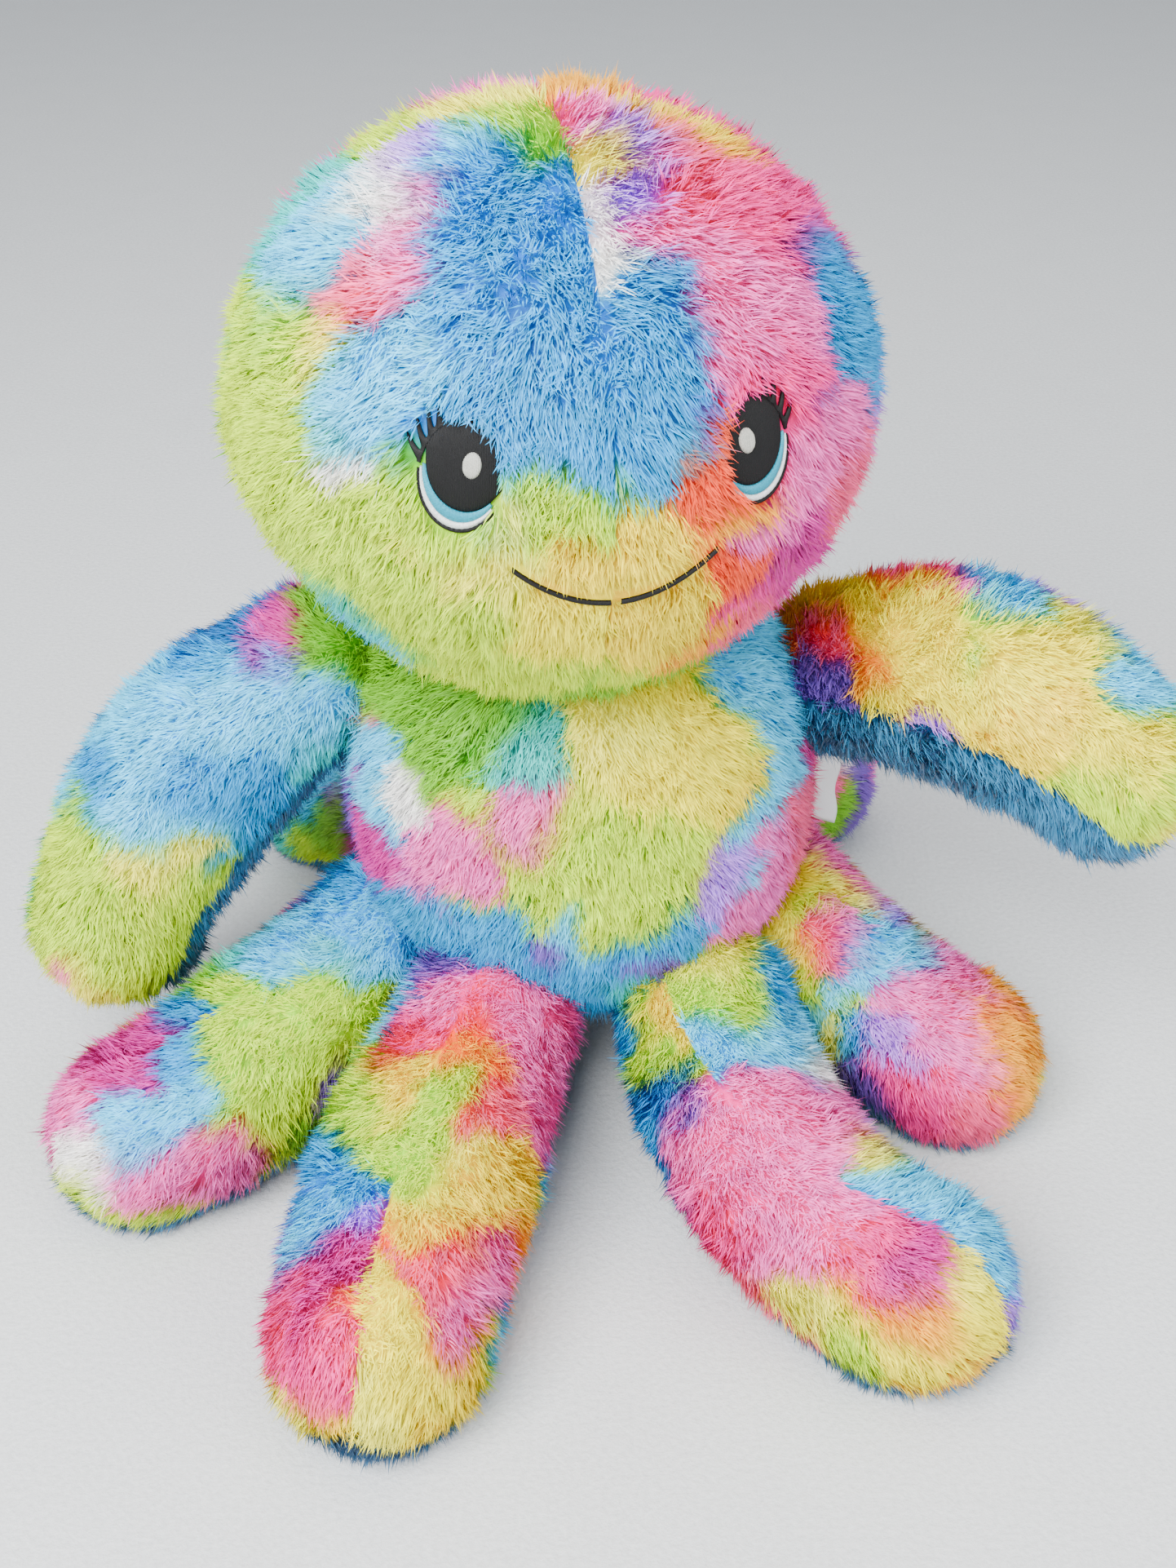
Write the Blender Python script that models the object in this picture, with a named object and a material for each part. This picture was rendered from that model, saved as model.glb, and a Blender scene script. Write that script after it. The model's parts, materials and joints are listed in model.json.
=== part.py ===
"""Soft octopus toy: a round stuffed head on a small torso, two arms and six legs.

Each stuffed part is sewn from plush panels round a ball or a bent sausage of stuffing. Every limb
starts in a round root, which turns in a shallow round seat in the torso, and the head turns in a
seat on the torso's top. Metres, +Z up, front towards -Y, feet standing on z = 0.
"""
import math

import bmesh
import bpy
import numpy as np
from mathutils import Matrix, Vector

# ---- cloth and clearances
WALL = 0.0030            # plush backing with its pile pressed flat
GAP = 0.0003             # between pieces that are sewn or packed together
JOINT_GAP = 0.0015       # between a turning root and its seat
SEAM_END = 0.0022        # radius of the small eye where the seams meet at a pole

# ---- head
HEAD_HALF_WIDTH = 0.1075
HEAD_HALF_DEPTH = 0.1020
HEAD_HALF_HEIGHT = 0.0980
HEAD_SEAT_POLAR = 50     # degrees from straight down: the head is a true ball up to here
HEAD_AHEAD = 0.033       # head centre in front of the torso's axis
HEAD_SIDE = -0.003
HEAD_YAW = 12.0          # degrees, towards +X
NECK_SINK = 0.0130       # how deep the head sits in the torso's top
NECK_THREAD = 0.0008
NECK_THREAD_POLAR = 20

# ---- torso
TORSO_HALF_WIDTH = 0.0910
TORSO_HALF_DEPTH = 0.0870
TORSO_UP = 0.1000        # middle to top
TORSO_DOWN = 0.0920      # middle to bottom
TORSO_BOTTOM = 0.0390    # height of the torso's underside
TORSO_SHOULDER = 2.9     # power of the upper outline: 2 is an ellipse, more is squarer
TORSO_SIDE = 0.006
BASE_POLAR = 45          # degrees: edge of the underside panel
BASE_POLE = 3            # degrees: the small flat at its middle
SIDE_SEAM = 90           # degrees from the front: where front and back panels meet

# ---- legs
LEG_ROOT_RADIUS = 0.0330
LEG_RADIUS = 0.0385
FOOT_RADIUS = 0.0370
FOOT_PRESS = 0.0065      # how far the floor flattens a foot
LEG_PROUD = 0.0150       # root centre outside the torso's surface
HIP_POLAR = 51           # degrees from straight down, seen from the torso's middle
SOLE_FROM = 122          # degrees from the top seam to the sole's edge
KNEE_HEIGHT = 0.30       # where a leg bends, as a share of its hip's height above its foot

# hip: degrees round from the front (+ towards +X). Then a first and a second stretch of leg, each as
# heading in degrees and length in metres, the leg's thickness, and where its top seam starts, in
# degrees round the leg from straight up.
LEGS = {
    "front_left": (-27, -22, 0.067, -8, 0.064, 1.04, 0),
    "front_right": (38, 8, 0.072, 58, 0.072, 0.90, 40),
    "side_left": (-78, -40, 0.072, -62, 0.050, 0.98, 0),
    "side_right": (92, 44, 0.056, 66, 0.036, 0.88, 0),
    "rear_left": (-150, -134, 0.062, -122, 0.046, 0.92, 0),
    "rear_right": (152, 144, 0.062, 132, 0.046, 0.92, 0),
}

# ---- arms
ARM_ROOT_RADIUS = 0.0310
ARM_RADIUS = 0.0375
HAND_RADIUS = 0.0325
ARM_PROUD = 0.0175
SHOULDER_POLAR = 120     # degrees from straight down, seen from the torso's middle
ARM_SEAM = 92            # degrees from the arm's top to its side seams

# side, degrees round from the front; middle and hand from the shoulder; the top's direction
ARMS = {
    "left": (-90, (-0.060, -0.010, -0.030), (-0.088, -0.026, -0.104), (-0.35, -0.75, 0.55)),
    "right": (90, (0.046, -0.042, 0.034), (0.090, -0.062, -0.002), (0.0, 0.0, 1.0)),
}

# ---- face, in degrees on the head seen from its middle, and metres
EYE_AZIMUTH = 26.5
EYE_HEIGHT = 10
EYE_HALF_WIDTH = 0.0128
EYE_HALF_HEIGHT = 0.0175
EYE_LEAN = 8             # degrees, tops towards each other
# The rest of the eye is in shares of its outline. Each crescent's inner edge cuts that deep into
# the outline at its lowest point, and the crescent runs so many degrees to each side of it.
CRESCENT_LOWEST = 14     # degrees outwards from straight down
CRESCENT_FADE = 98       # degrees from the lowest point to where a crescent's edge dies out
CRESCENT_BLUNT = 0.8     # power of its edge: 1 is a cosine, less is blunter at the ends
IRIS_DEEP = 0.42
WHITE_DEEP = 0.20
OUTLINE_DEEP = 0.07
OUTLINE_WIDE = 0.075
IRIS_HALF = 80
WHITE_HALF = 76
OUTLINE_HALF = 74
GLINT_SIZE = (0.25, 0.28)
GLINT_PLACE = (0.30, 0.22)    # towards the nose, and up
LASHES = 4
LASH_FAN = (3, 54)       # degrees up from the eye's outer side
LASH_FOOT = 0.07
LASH_LONG = 0.46
LASH_SHARP = 2.2         # power that thins the lashes to points
LASH_SWEEP = 9           # degrees that a tip leans upwards
MOUTH_HALF_SPAN = 17.7
MOUTH_BREAK = 0.9        # half the gap at the centre seam
MOUTH_CORNER = -5.5
MOUTH_LOW = -13.5
MOUTH_LINE = 0.0018
STITCH = 0.0008          # thickness of a stitched field

# ---- label and closing stitches
LABEL_WIDTH = 0.030
LABEL_LENGTH = 0.045
LABEL_THICK = 0.0012
LABEL_DROOP = 0.55       # fall for each length outwards
LABEL_CURL = 0.006       # height of the wave along it
LABEL_WAVE = 2.6         # radians of that wave over the whole length
LABEL_CUP = 0.0035       # how far its sewn corners stand forward of its middle
LABEL_ROUND = 116        # degrees round from the front
LABEL_POLAR = 76
CLOSING_POLARS = (78, 106)    # degrees from straight down, both ends of the row
CLOSING_WIDTH = 0.0024
CLOSING_ABOVE = 0.0009   # over the cloth

# ---- facets
BALL_STEPS = 11          # rows from pole to pole
BALL_STEP = 15           # degrees round
LIMB_STEPS = 8           # rings along a limb's curve
LIMB_STEP = 32           # degrees round a limb
LIMB_CAP = 68            # degrees from a limb's round ends to where its curve takes over
CAP_RINGS = 3
SWELL_BY = 0.45          # share of a limb by which it has its full thickness
THIN_FROM = 0.60         # share of a limb from where it thins or widens to its end
BASE_RINGS = 4
NECK_TURN = 24
EYE_STEPS = 20
FIELD_ROWS = 3
CRESCENT_STEPS = 11
LASH_STEPS = 25
MOUTH_STEPS = 12
LABEL_GRID = (6, 4)
CLOSING_STEPS = 9
ICOSAHEDRON_FACET = 37.4    # degrees from the middle of its facet to a corner
HEAD_SEAT_FINE = 3       # subdivisions of the ball that cuts a seat
LIMB_SEAT_FINE = 3

for old in list(bpy.data.objects):
    bpy.data.objects.remove(old, do_unlink=True)


def unit(v):
    """The vectors of an array, each at length one."""
    v = np.asarray(v, float)
    return v / np.linalg.norm(v, axis=-1, keepdims=True)


def round_from_front(azimuth):
    """The level direction that many degrees round from the front, + towards +X."""
    a = math.radians(azimuth)
    return np.array([math.sin(a), -math.cos(a), 0.0])


def smooth(x):
    """0 below 0, 1 above 1 and an even rise between."""
    x = np.clip(x, 0.0, 1.0)
    return x * x * (3 - 2 * x)


def material(name, colour, roughness=0.9):
    """A plain Principled material."""
    made = bpy.data.materials.new(name)
    made.use_nodes = True
    shader = made.node_tree.nodes["Principled BSDF"]
    shader.inputs["Base Color"].default_value = (*colour, 1.0)
    shader.inputs["Roughness"].default_value = roughness
    return made


MATERIALS = {
    "plush": material("dyed_plush", (0.50, 0.72, 0.60)),
    "under": material("blue_plush", (0.03, 0.16, 0.34)),
    "filling": material("filling", (0.90, 0.90, 0.88)),
    "black": material("black_thread", (0.005, 0.005, 0.006), 0.4),
    "teal": material("teal_thread", (0.01, 0.27, 0.36), 0.4),
    "white": material("white_thread", (0.75, 0.76, 0.74), 0.4),
    "label": material("satin_label", (0.85, 0.84, 0.83), 0.4),
}


def add(name, verts, faces, look, pivot=(0.0, 0.0, 0.0)):
    """One named object with its origin at pivot, from points in the toy's own frame."""
    mesh = bpy.data.meshes.new(name)
    mesh.from_pydata((np.asarray(verts) - pivot).tolist(), [], faces)
    shape = bmesh.new()
    shape.from_mesh(mesh)
    bmesh.ops.recalc_face_normals(shape, faces=shape.faces)
    bmesh.ops.triangulate(shape, faces=shape.faces)
    shape.to_mesh(mesh)
    shape.free()
    mesh.materials.append(MATERIALS[look])
    made = bpy.data.objects.new(name, mesh)
    made.location = pivot
    bpy.context.collection.objects.link(made)
    return made


def grid_faces(rows, columns, first=0, wrap=False):
    """Four-sided faces of a grid of points, closed round its columns where wrap is set."""
    faces = []
    for r in range(rows - 1):
        for c in range(columns if wrap else columns - 1):
            d = (c + 1) % columns
            a = first + r * columns
            faces.append((a + c, a + d, a + columns + d, a + columns + c))
    return faces


def patch(name, outer, inner, look, pivot=(0.0, 0.0, 0.0)):
    """A closed sheet between two grids of points of the same size."""
    rows, columns = outer.shape[:2]
    count = rows * columns
    faces = grid_faces(rows, columns)
    faces += [tuple(reversed(f)) for f in grid_faces(rows, columns, count)]
    edge = [c for c in range(columns)]
    edge += [r * columns + columns - 1 for r in range(1, rows)]
    edge += [(rows - 1) * columns + c for c in range(columns - 2, -1, -1)]
    edge += [r * columns for r in range(rows - 2, 0, -1)]
    for k, a in enumerate(edge):
        b = edge[(k + 1) % len(edge)]
        faces.append((b, a, a + count, b + count))
    points = np.concatenate([outer.reshape(-1, 3), inner.reshape(-1, 3)])
    return add(name, points, faces, look, pivot)


def closed_rings(name, rings, look, pivot=(0.0, 0.0, 0.0)):
    """A closed solid skinned over rings of points, with a flat lid at each end."""
    rows, columns = rings.shape[:2]
    faces = grid_faces(rows, columns, wrap=True)
    faces.append(tuple(range(columns)))
    faces.append(tuple(reversed(range((rows - 1) * columns, rows * columns))))
    return add(name, rings.reshape(-1, 3), faces, look, pivot)


def cut(target, centre, radius, fineness):
    """A round seat taken out of target with an exact Boolean, its facets outside the true ball."""
    ball = bpy.data.meshes.new("seat")
    shape = bmesh.new()
    place = Matrix.Translation(Vector(centre))
    facet = math.radians(ICOSAHEDRON_FACET / 2 ** (fineness - 1))
    outside = radius / math.cos(facet)
    bmesh.ops.create_icosphere(shape, subdivisions=fineness, radius=outside, matrix=place)
    shape.to_mesh(ball)
    shape.free()
    cutter = bpy.data.objects.new("seat", ball)
    bpy.context.collection.objects.link(cutter)
    cutter.hide_render = True
    cutter.display_type = "WIRE"
    seat = target.modifiers.new("seat", "BOOLEAN")
    seat.operation = "DIFFERENCE"
    seat.solver = "EXACT"
    seat.object = cutter
    bpy.context.view_layer.update()
    done = bpy.data.meshes.new_from_object(target.evaluated_get(bpy.context.evaluated_depsgraph_get()))
    target.modifiers.clear()
    target.data = done
    bpy.data.objects.remove(cutter, do_unlink=True)


# ---- the two round bodies, each as a distance from its middle in every direction

TORSO_CENTRE = np.array([TORSO_SIDE, 0.0, TORSO_BOTTOM + TORSO_DOWN])


def torso_reach(direction):
    """Middle to surface: an egg, elliptic below and squarer at the shoulders."""
    level = np.hypot(direction[..., 0] / TORSO_HALF_WIDTH, direction[..., 1] / TORSO_HALF_DEPTH)
    rise = direction[..., 2]
    upper = (level ** TORSO_SHOULDER + (np.abs(rise) / TORSO_UP) ** TORSO_SHOULDER)
    lower = level ** 2 + (rise / TORSO_DOWN) ** 2
    return np.where(rise > 0, upper ** (-1 / TORSO_SHOULDER), lower ** -0.5)


def head_reach(direction):
    """Middle to surface: a true ball below, growing to the head's full width and depth."""
    polar = np.degrees(np.arccos(np.clip(-direction[..., 2], -1, 1)))
    full = np.sqrt((direction[..., 0] / HEAD_HALF_WIDTH) ** 2
                   + (direction[..., 1] / HEAD_HALF_DEPTH) ** 2
                   + (direction[..., 2] / HEAD_HALF_HEIGHT) ** 2) ** -1.0
    grown = smooth((polar - HEAD_SEAT_POLAR) / (90 - HEAD_SEAT_POLAR))
    return HEAD_HALF_HEIGHT + grown * (full - HEAD_HALF_HEIGHT)


def seat_height(ahead, side):
    """Height of the head's middle with its ball sunk NECK_SINK into the torso's top."""
    level = np.hypot(side / TORSO_HALF_WIDTH, ahead / TORSO_HALF_DEPTH)
    top = TORSO_CENTRE[2] + TORSO_UP * (1 - level ** TORSO_SHOULDER) ** (1 / TORSO_SHOULDER)
    return top + HEAD_HALF_HEIGHT - NECK_SINK


HEAD_CENTRE = np.array([
    HEAD_SIDE, -HEAD_AHEAD, seat_height(HEAD_AHEAD, HEAD_SIDE - TORSO_SIDE)])


def ball_points(centre, reach, polar, azimuth, depth, yaw=0.0):
    """Points at each polar angle (from straight down) and azimuth (from the front), in degrees."""
    p, a = np.broadcast_arrays(np.radians(polar), np.radians(azimuth))
    own = np.stack([np.sin(p) * np.sin(a), -np.sin(p) * np.cos(a), -np.cos(p)], axis=-1)
    points = own * (reach(own) - depth)[..., None]
    t = math.radians(yaw)
    turn = np.array([[math.cos(t), -math.sin(t), 0], [math.sin(t), math.cos(t), 0], [0, 0, 1]])
    return points @ turn.T + centre


def divide(start, stop, step):
    """Angles from start to stop in even steps of about that size."""
    return np.linspace(start, stop, 1 + max(3, round((stop - start) / step)))


def ball_panel(name, centre, reach, polars, azimuths, yaw, look, pivot):
    """A panel between two azimuths, its side edges kept half a gap from the seam planes."""
    polar = np.radians(polars)[:, None]
    across = (divide(*azimuths, BALL_STEP) - azimuths[0]) / (azimuths[1] - azimuths[0])
    ring = reach(np.stack([np.sin(polar), 0 * polar, -np.cos(polar)], -1)) * np.sin(polar)
    inset = np.degrees(np.arcsin(np.clip(GAP / 2 / (ring - WALL * np.sin(polar)), 0, 0.9)))
    azimuth = azimuths[0] + inset + across * (azimuths[1] - azimuths[0] - 2 * inset)
    sheets = [ball_points(centre, reach, np.degrees(polar), azimuth, d, yaw) for d in (0.0, WALL)]
    return patch(name, *sheets, look, pivot)


def ball_filling(name, centre, reach, polars, panels, yaw, pivot):
    """The stuffing: the panels' round shape inside them, with its facets behind theirs."""
    azimuth = np.concatenate([divide(*azimuths, BALL_STEP)[:-1] for azimuths in panels])
    rings = ball_points(centre, reach, polars[:, None], azimuth[None, :], WALL + GAP, yaw)
    return closed_rings(name, rings, "filling", pivot)


def pole_angle(reach):
    """Degrees from a pole to the small eye where the seams meet."""
    return math.degrees(math.asin(SEAM_END / reach))


# ---- limbs

class Limb:
    """A bent sausage: a round root at the pivot, a curved middle and a round end."""

    def __init__(self, pivot, middle, end, radii, tops, floor):
        self.pivot = np.asarray(pivot, float)
        self.middle = np.asarray(middle, float)
        self.end = np.asarray(end, float)
        self.radii = radii
        self.tops = tops
        self.floor = floor

    def stations(self, depth, pole):
        """Ring centres, radii, directions and the share of the way along, root pole to end pole."""
        root, thick, tip = self.radii
        steps = np.linspace(0, 1, LIMB_STEPS)
        s = steps[:, None]
        line = (1 - s) ** 2 * self.pivot + 2 * s * (1 - s) * self.middle + s ** 2 * self.end
        along = unit((1 - s) * (self.middle - self.pivot) + s * (self.end - self.middle))
        swell = smooth(steps / SWELL_BY)
        sink = smooth((steps - THIN_FROM) / (1 - THIN_FROM))
        radius = root + (thick - root) * swell + (tip - thick) * sink - depth
        near = np.radians(np.linspace(pole / (root - depth), LIMB_CAP, CAP_RINGS))
        far = np.radians(np.linspace(LIMB_CAP, pole / (tip - depth), CAP_RINGS))
        centres = np.concatenate([
            self.pivot - along[0] * ((root - depth) * np.cos(near))[:, None],
            line,
            self.end + along[-1] * ((tip - depth) * np.cos(far))[:, None]])
        radius = np.concatenate([(root - depth) * np.sin(near), radius, (tip - depth) * np.sin(far)])
        ends = [np.repeat(along[:1], CAP_RINGS, 0), along, np.repeat(along[-1:], CAP_RINGS, 0)]
        along = np.concatenate(ends)
        share = np.concatenate([np.zeros(CAP_RINGS), steps, np.ones(CAP_RINGS)])
        return centres, radius, along, share

    def rings(self, angles, depth, pole=math.degrees(SEAM_END)):
        """Points at each station and angle (degrees from the limb's top, + to its right)."""
        centres, radius, along, share = self.stations(depth, pole)
        top = self.tops[0] + share[:, None] * (np.asarray(self.tops[1]) - self.tops[0])
        right = unit(np.cross(along, top))
        up = np.cross(right, along)
        inset = np.degrees(np.arcsin(np.clip(GAP / 2 / radius, 0, 0.9)))[:, None]
        low, high = angles[0] + inset, angles[-1] - inset
        a = np.radians(np.clip(np.broadcast_to(angles, (len(radius), len(angles))), low, high))[..., None]
        points = centres[:, None] + radius[:, None, None] * (
            np.cos(a) * up[:, None] + np.sin(a) * right[:, None])
        if self.floor:
            points[..., 2] = np.maximum(points[..., 2], depth)
        return points

    def panel(self, name, start, stop, look):
        """One plush panel between two angles round the limb."""
        angles = divide(start, stop, LIMB_STEP)
        return patch(name, self.rings(angles, 0.0), self.rings(angles, WALL), look, self.pivot)

    def filling(self, name, panels):
        """The stuffing inside the panels, with its facets behind theirs."""
        rings = [self.rings(divide(*angles, LIMB_STEP), WALL + GAP)[:, :-1] for angles in panels]
        rings = np.concatenate(rings, axis=1)
        return closed_rings(name, rings, "filling", self.pivot)


def torso_surface(azimuth, polar, proud):
    """A point that far outside the torso's surface, along the surface's own normal."""
    def at(p, a):
        return ball_points(TORSO_CENTRE, torso_reach, p, a, np.zeros(()))
    here = at(polar, azimuth)
    down = at(polar + 1, azimuth) - here
    side = at(polar, azimuth + 1) - here
    normal = unit(np.cross(side, down))
    if normal @ (here - TORSO_CENTRE) < 0:
        normal = -normal
    return here + normal * proud


def make_leg(name, hip, heading, reach, turn, foot, stout, seam):
    """A leg whose foot lies on the floor, with two top panels and a sole."""
    pivot = torso_surface(hip, HIP_POLAR, LEG_PROUD)
    radii = (LEG_ROOT_RADIUS, LEG_RADIUS * stout, FOOT_RADIUS * (1 + stout) / 2)
    first = pivot + round_from_front(heading) * reach
    end = first + round_from_front(turn) * foot
    end[2] = radii[2] - FOOT_PRESS
    first[2] = end[2] + KNEE_HEIGHT * (pivot[2] - end[2])
    tilt = math.radians(seam)
    across = unit(np.cross(end - pivot, (0, 0, 1)))
    tops = (math.cos(tilt) * np.array([0, 0, 1.0]) + math.sin(tilt) * across, np.array([0, 0, 1.0]))
    leg = Limb(pivot, first, end, radii, tops, True)
    left, right, sole = (-SOLE_FROM, 0), (0, SOLE_FROM), (SOLE_FROM, 360 - SOLE_FROM)
    leg.panel(f"leg_{name}_panel_left", *left, "plush")
    leg.panel(f"leg_{name}_panel_right", *right, "plush")
    leg.panel(f"leg_{name}_sole", *sole, "under")
    leg.filling(f"leg_{name}_stuffing", (left, right, sole))
    return pivot


def make_arm(name, side, middle, hand, top):
    """An arm with one dyed top panel and one plain underside panel."""
    pivot = torso_surface(side, SHOULDER_POLAR, ARM_PROUD)
    radii = (ARM_ROOT_RADIUS, ARM_RADIUS, HAND_RADIUS)
    arm = Limb(pivot, pivot + middle, pivot + hand, radii, (np.asarray(top),) * 2, False)
    over, under = (-ARM_SEAM, ARM_SEAM), (ARM_SEAM, 360 - ARM_SEAM)
    arm.panel(f"arm_{name}_panel_top", *over, "plush")
    arm.panel(f"arm_{name}_panel_under", *under, "under")
    arm.filling(f"arm_{name}_stuffing", (over, under))
    return pivot


# ---- face

def on_face(azimuth, height, across, up, rise):
    """Points on the head: metres across and up from a place given in degrees, rise above the pile."""
    a = azimuth + np.degrees(across / (HEAD_HALF_DEPTH * math.cos(math.radians(height))))
    h = height + np.degrees(up / HEAD_HALF_DEPTH)
    return ball_points(HEAD_CENTRE, head_reach, 90 + h, a, -np.asarray(rise), HEAD_YAW)


def eye_shape(side, share, turn):
    """Across and up in the eye at a share of its outline, turn in degrees anticlockwise from +X."""
    t = np.radians(turn)
    lean = math.radians(EYE_LEAN) * side
    x = share * EYE_HALF_WIDTH * np.cos(t)
    y = share * EYE_HALF_HEIGHT * np.sin(t)
    return x * math.cos(lean) - y * math.sin(lean), x * math.sin(lean) + y * math.cos(lean)


def lowest_turn(side):
    """Where round the eye its crescents are deepest: below and a little outwards."""
    return -90 + CRESCENT_LOWEST * side


def crescent_inner(side, turn, deep):
    """Share of the outline left above a crescent that cuts so deep into it."""
    off = (np.asarray(turn) - lowest_turn(side) + 180) % 360 - 180
    fade = np.clip(off * 90 / CRESCENT_FADE, -90, 90)
    return 1 - deep * np.cos(np.radians(fade)) ** CRESCENT_BLUNT


def make_eye(word, side):
    """An embroidered eye: dark field, iris, white, outline, glint and a row of lashes."""
    azimuth = EYE_AZIMUTH * side
    low = GAP
    thick = (low, low + STITCH)

    def field(part, inner, outer, turns, look, levels=thick):
        share = np.linspace(0, 1, FIELD_ROWS)[:, None]
        ring = inner + (outer - inner) * share
        sheets = [on_face(azimuth, EYE_HEIGHT, *eye_shape(side, ring, turns[None, :]), level)
                  for level in levels[::-1]]
        return patch(f"eye_{word}_{part}", *sheets, look, tuple(HEAD_CENTRE))

    around = np.linspace(0, 360, EYE_STEPS, endpoint=False)
    edge = crescent_inner(side, around, IRIS_DEEP)
    rings = []
    for share, level in ((0.02, thick[0]), (0.5, thick[0]), (1, thick[0]), (1, thick[1]),
                         (0.5, thick[1]), (0.02, thick[1])):
        spot = eye_shape(side, edge * share, around)
        rings.append(on_face(azimuth, EYE_HEIGHT, *spot, level))
    closed_rings(f"eye_{word}_pupil", np.array(rings), "black", tuple(HEAD_CENTRE))

    lowest = lowest_turn(side)
    hair = GAP / EYE_HALF_WIDTH
    bands = (("iris", IRIS_DEEP, WHITE_DEEP, IRIS_HALF, "teal"),
             ("white", WHITE_DEEP, OUTLINE_DEEP, WHITE_HALF, "white"))
    for part, deep, shallow, half, look in bands:
        turns = np.linspace(lowest - half, lowest + half, CRESCENT_STEPS)
        inner = crescent_inner(side, turns, deep)[None, :] + hair
        outer = crescent_inner(side, turns, shallow)[None, :]
        field(part, inner, outer, turns, look)
    turns = np.linspace(lowest - OUTLINE_HALF, lowest + OUTLINE_HALF, CRESCENT_STEPS)
    inner = crescent_inner(side, turns, OUTLINE_DEEP)[None, :] + hair
    field("outline", inner, inner + OUTLINE_WIDE, turns, "black")

    upper = thick[1] + GAP
    glint = []
    for share, level in ((0.05, upper), (1, upper), (1, upper + STITCH), (0.05, upper + STITCH)):
        x, y = eye_shape(side, share, around[::2])
        across = x * GLINT_SIZE[0] - side * GLINT_PLACE[0] * EYE_HALF_WIDTH
        up = y * GLINT_SIZE[1] + GLINT_PLACE[1] * EYE_HALF_HEIGHT
        glint.append(on_face(azimuth, EYE_HEIGHT, across, up, level))
    closed_rings(f"eye_{word}_glint", np.array(glint), "white", tuple(HEAD_CENTRE))
    make_lashes(word, side, azimuth, thick)


def make_lashes(word, side, azimuth, levels):
    """A row of short lashes on one curved root beside the eye's upper outer edge."""
    turns = np.linspace(*LASH_FAN, LASH_STEPS)
    wave = 0.5 - 0.5 * np.cos(np.linspace(0, 2 * math.pi * LASHES, LASH_STEPS))
    sharp = wave ** LASH_SHARP
    facing = turns if side > 0 else 180 - turns
    inner = np.full(LASH_STEPS, 1 + GAP / EYE_HALF_WIDTH)
    outer = inner + LASH_FOOT + LASH_LONG * sharp
    shift = side * LASH_SWEEP * sharp
    rows = [eye_shape(side, share, facing + move) for share, move in ((inner, 0), (outer, shift))]
    x = np.stack([r[0] for r in rows])
    y = np.stack([r[1] for r in rows])
    sheets = [on_face(azimuth, EYE_HEIGHT, x, y, level) for level in levels[::-1]]
    patch(f"eye_{word}_lashes", *sheets, "black", tuple(HEAD_CENTRE))


def make_mouth(word, start, stop):
    """Half of the smile: a stitched line along a shallow arc."""
    steps = np.linspace(start, stop, MOUTH_STEPS)
    share = steps / MOUTH_HALF_SPAN
    height = MOUTH_LOW + (MOUTH_CORNER - MOUTH_LOW) * share ** 2
    half = math.degrees(MOUTH_LINE / 2 / HEAD_HALF_DEPTH)
    width = np.stack([height - half, height + half])
    sheets = [ball_points(HEAD_CENTRE, head_reach, 90 + width, steps[None, :], -level, HEAD_YAW)
              for level in (GAP + STITCH, GAP)]
    return patch(f"mouth_{word}", *sheets, "black", tuple(HEAD_CENTRE))


# ---- building

def build_head():
    """Four plush quarters round the stuffing, and the embroidered face."""
    eye = pole_angle(HEAD_HALF_HEIGHT)
    polars = np.linspace(eye, 180 - eye, BALL_STEPS)
    quarters = {"back_left": (-180, -90), "front_left": (-90, 0),
                "front_right": (0, 90), "back_right": (90, 180)}
    pivot = tuple(HEAD_CENTRE)
    for word, azimuths in quarters.items():
        ball_panel(f"head_panel_{word}", HEAD_CENTRE, head_reach, polars, azimuths, HEAD_YAW,
                   "plush", pivot)
    ball_filling("head_stuffing", HEAD_CENTRE, head_reach, polars, quarters.values(), HEAD_YAW, pivot)
    make_eye("left", -1)
    make_eye("right", 1)
    make_mouth("left", -MOUTH_HALF_SPAN, -MOUTH_BREAK)
    make_mouth("right", MOUTH_BREAK, MOUTH_HALF_SPAN)


def build_neck():
    """The ring of thread that draws the head down onto the torso."""
    polar = math.radians(NECK_THREAD_POLAR)
    middle = HEAD_HALF_HEIGHT + JOINT_GAP / 2
    half = NECK_THREAD / 2
    turn = np.radians(np.linspace(0, 360, NECK_TURN, endpoint=False))[:, None]
    section = np.radians(np.array([45, 135, 225, 315]))[None, :]
    reach = middle * math.sin(polar) + half * np.cos(section)
    height = -middle * math.cos(polar) + half * np.sin(section)
    points = np.stack([reach * np.sin(turn), -reach * np.cos(turn),
                       np.broadcast_to(height, (NECK_TURN, 4))], -1) + HEAD_CENTRE
    faces = grid_faces(NECK_TURN, 4, wrap=True)
    faces += [((NECK_TURN - 1) * 4 + c, (NECK_TURN - 1) * 4 + (c + 1) % 4, (c + 1) % 4, c)
              for c in range(4)]
    add("neck_seam_thread", points.reshape(-1, 3), faces, "white", tuple(HEAD_CENTRE))


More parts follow.
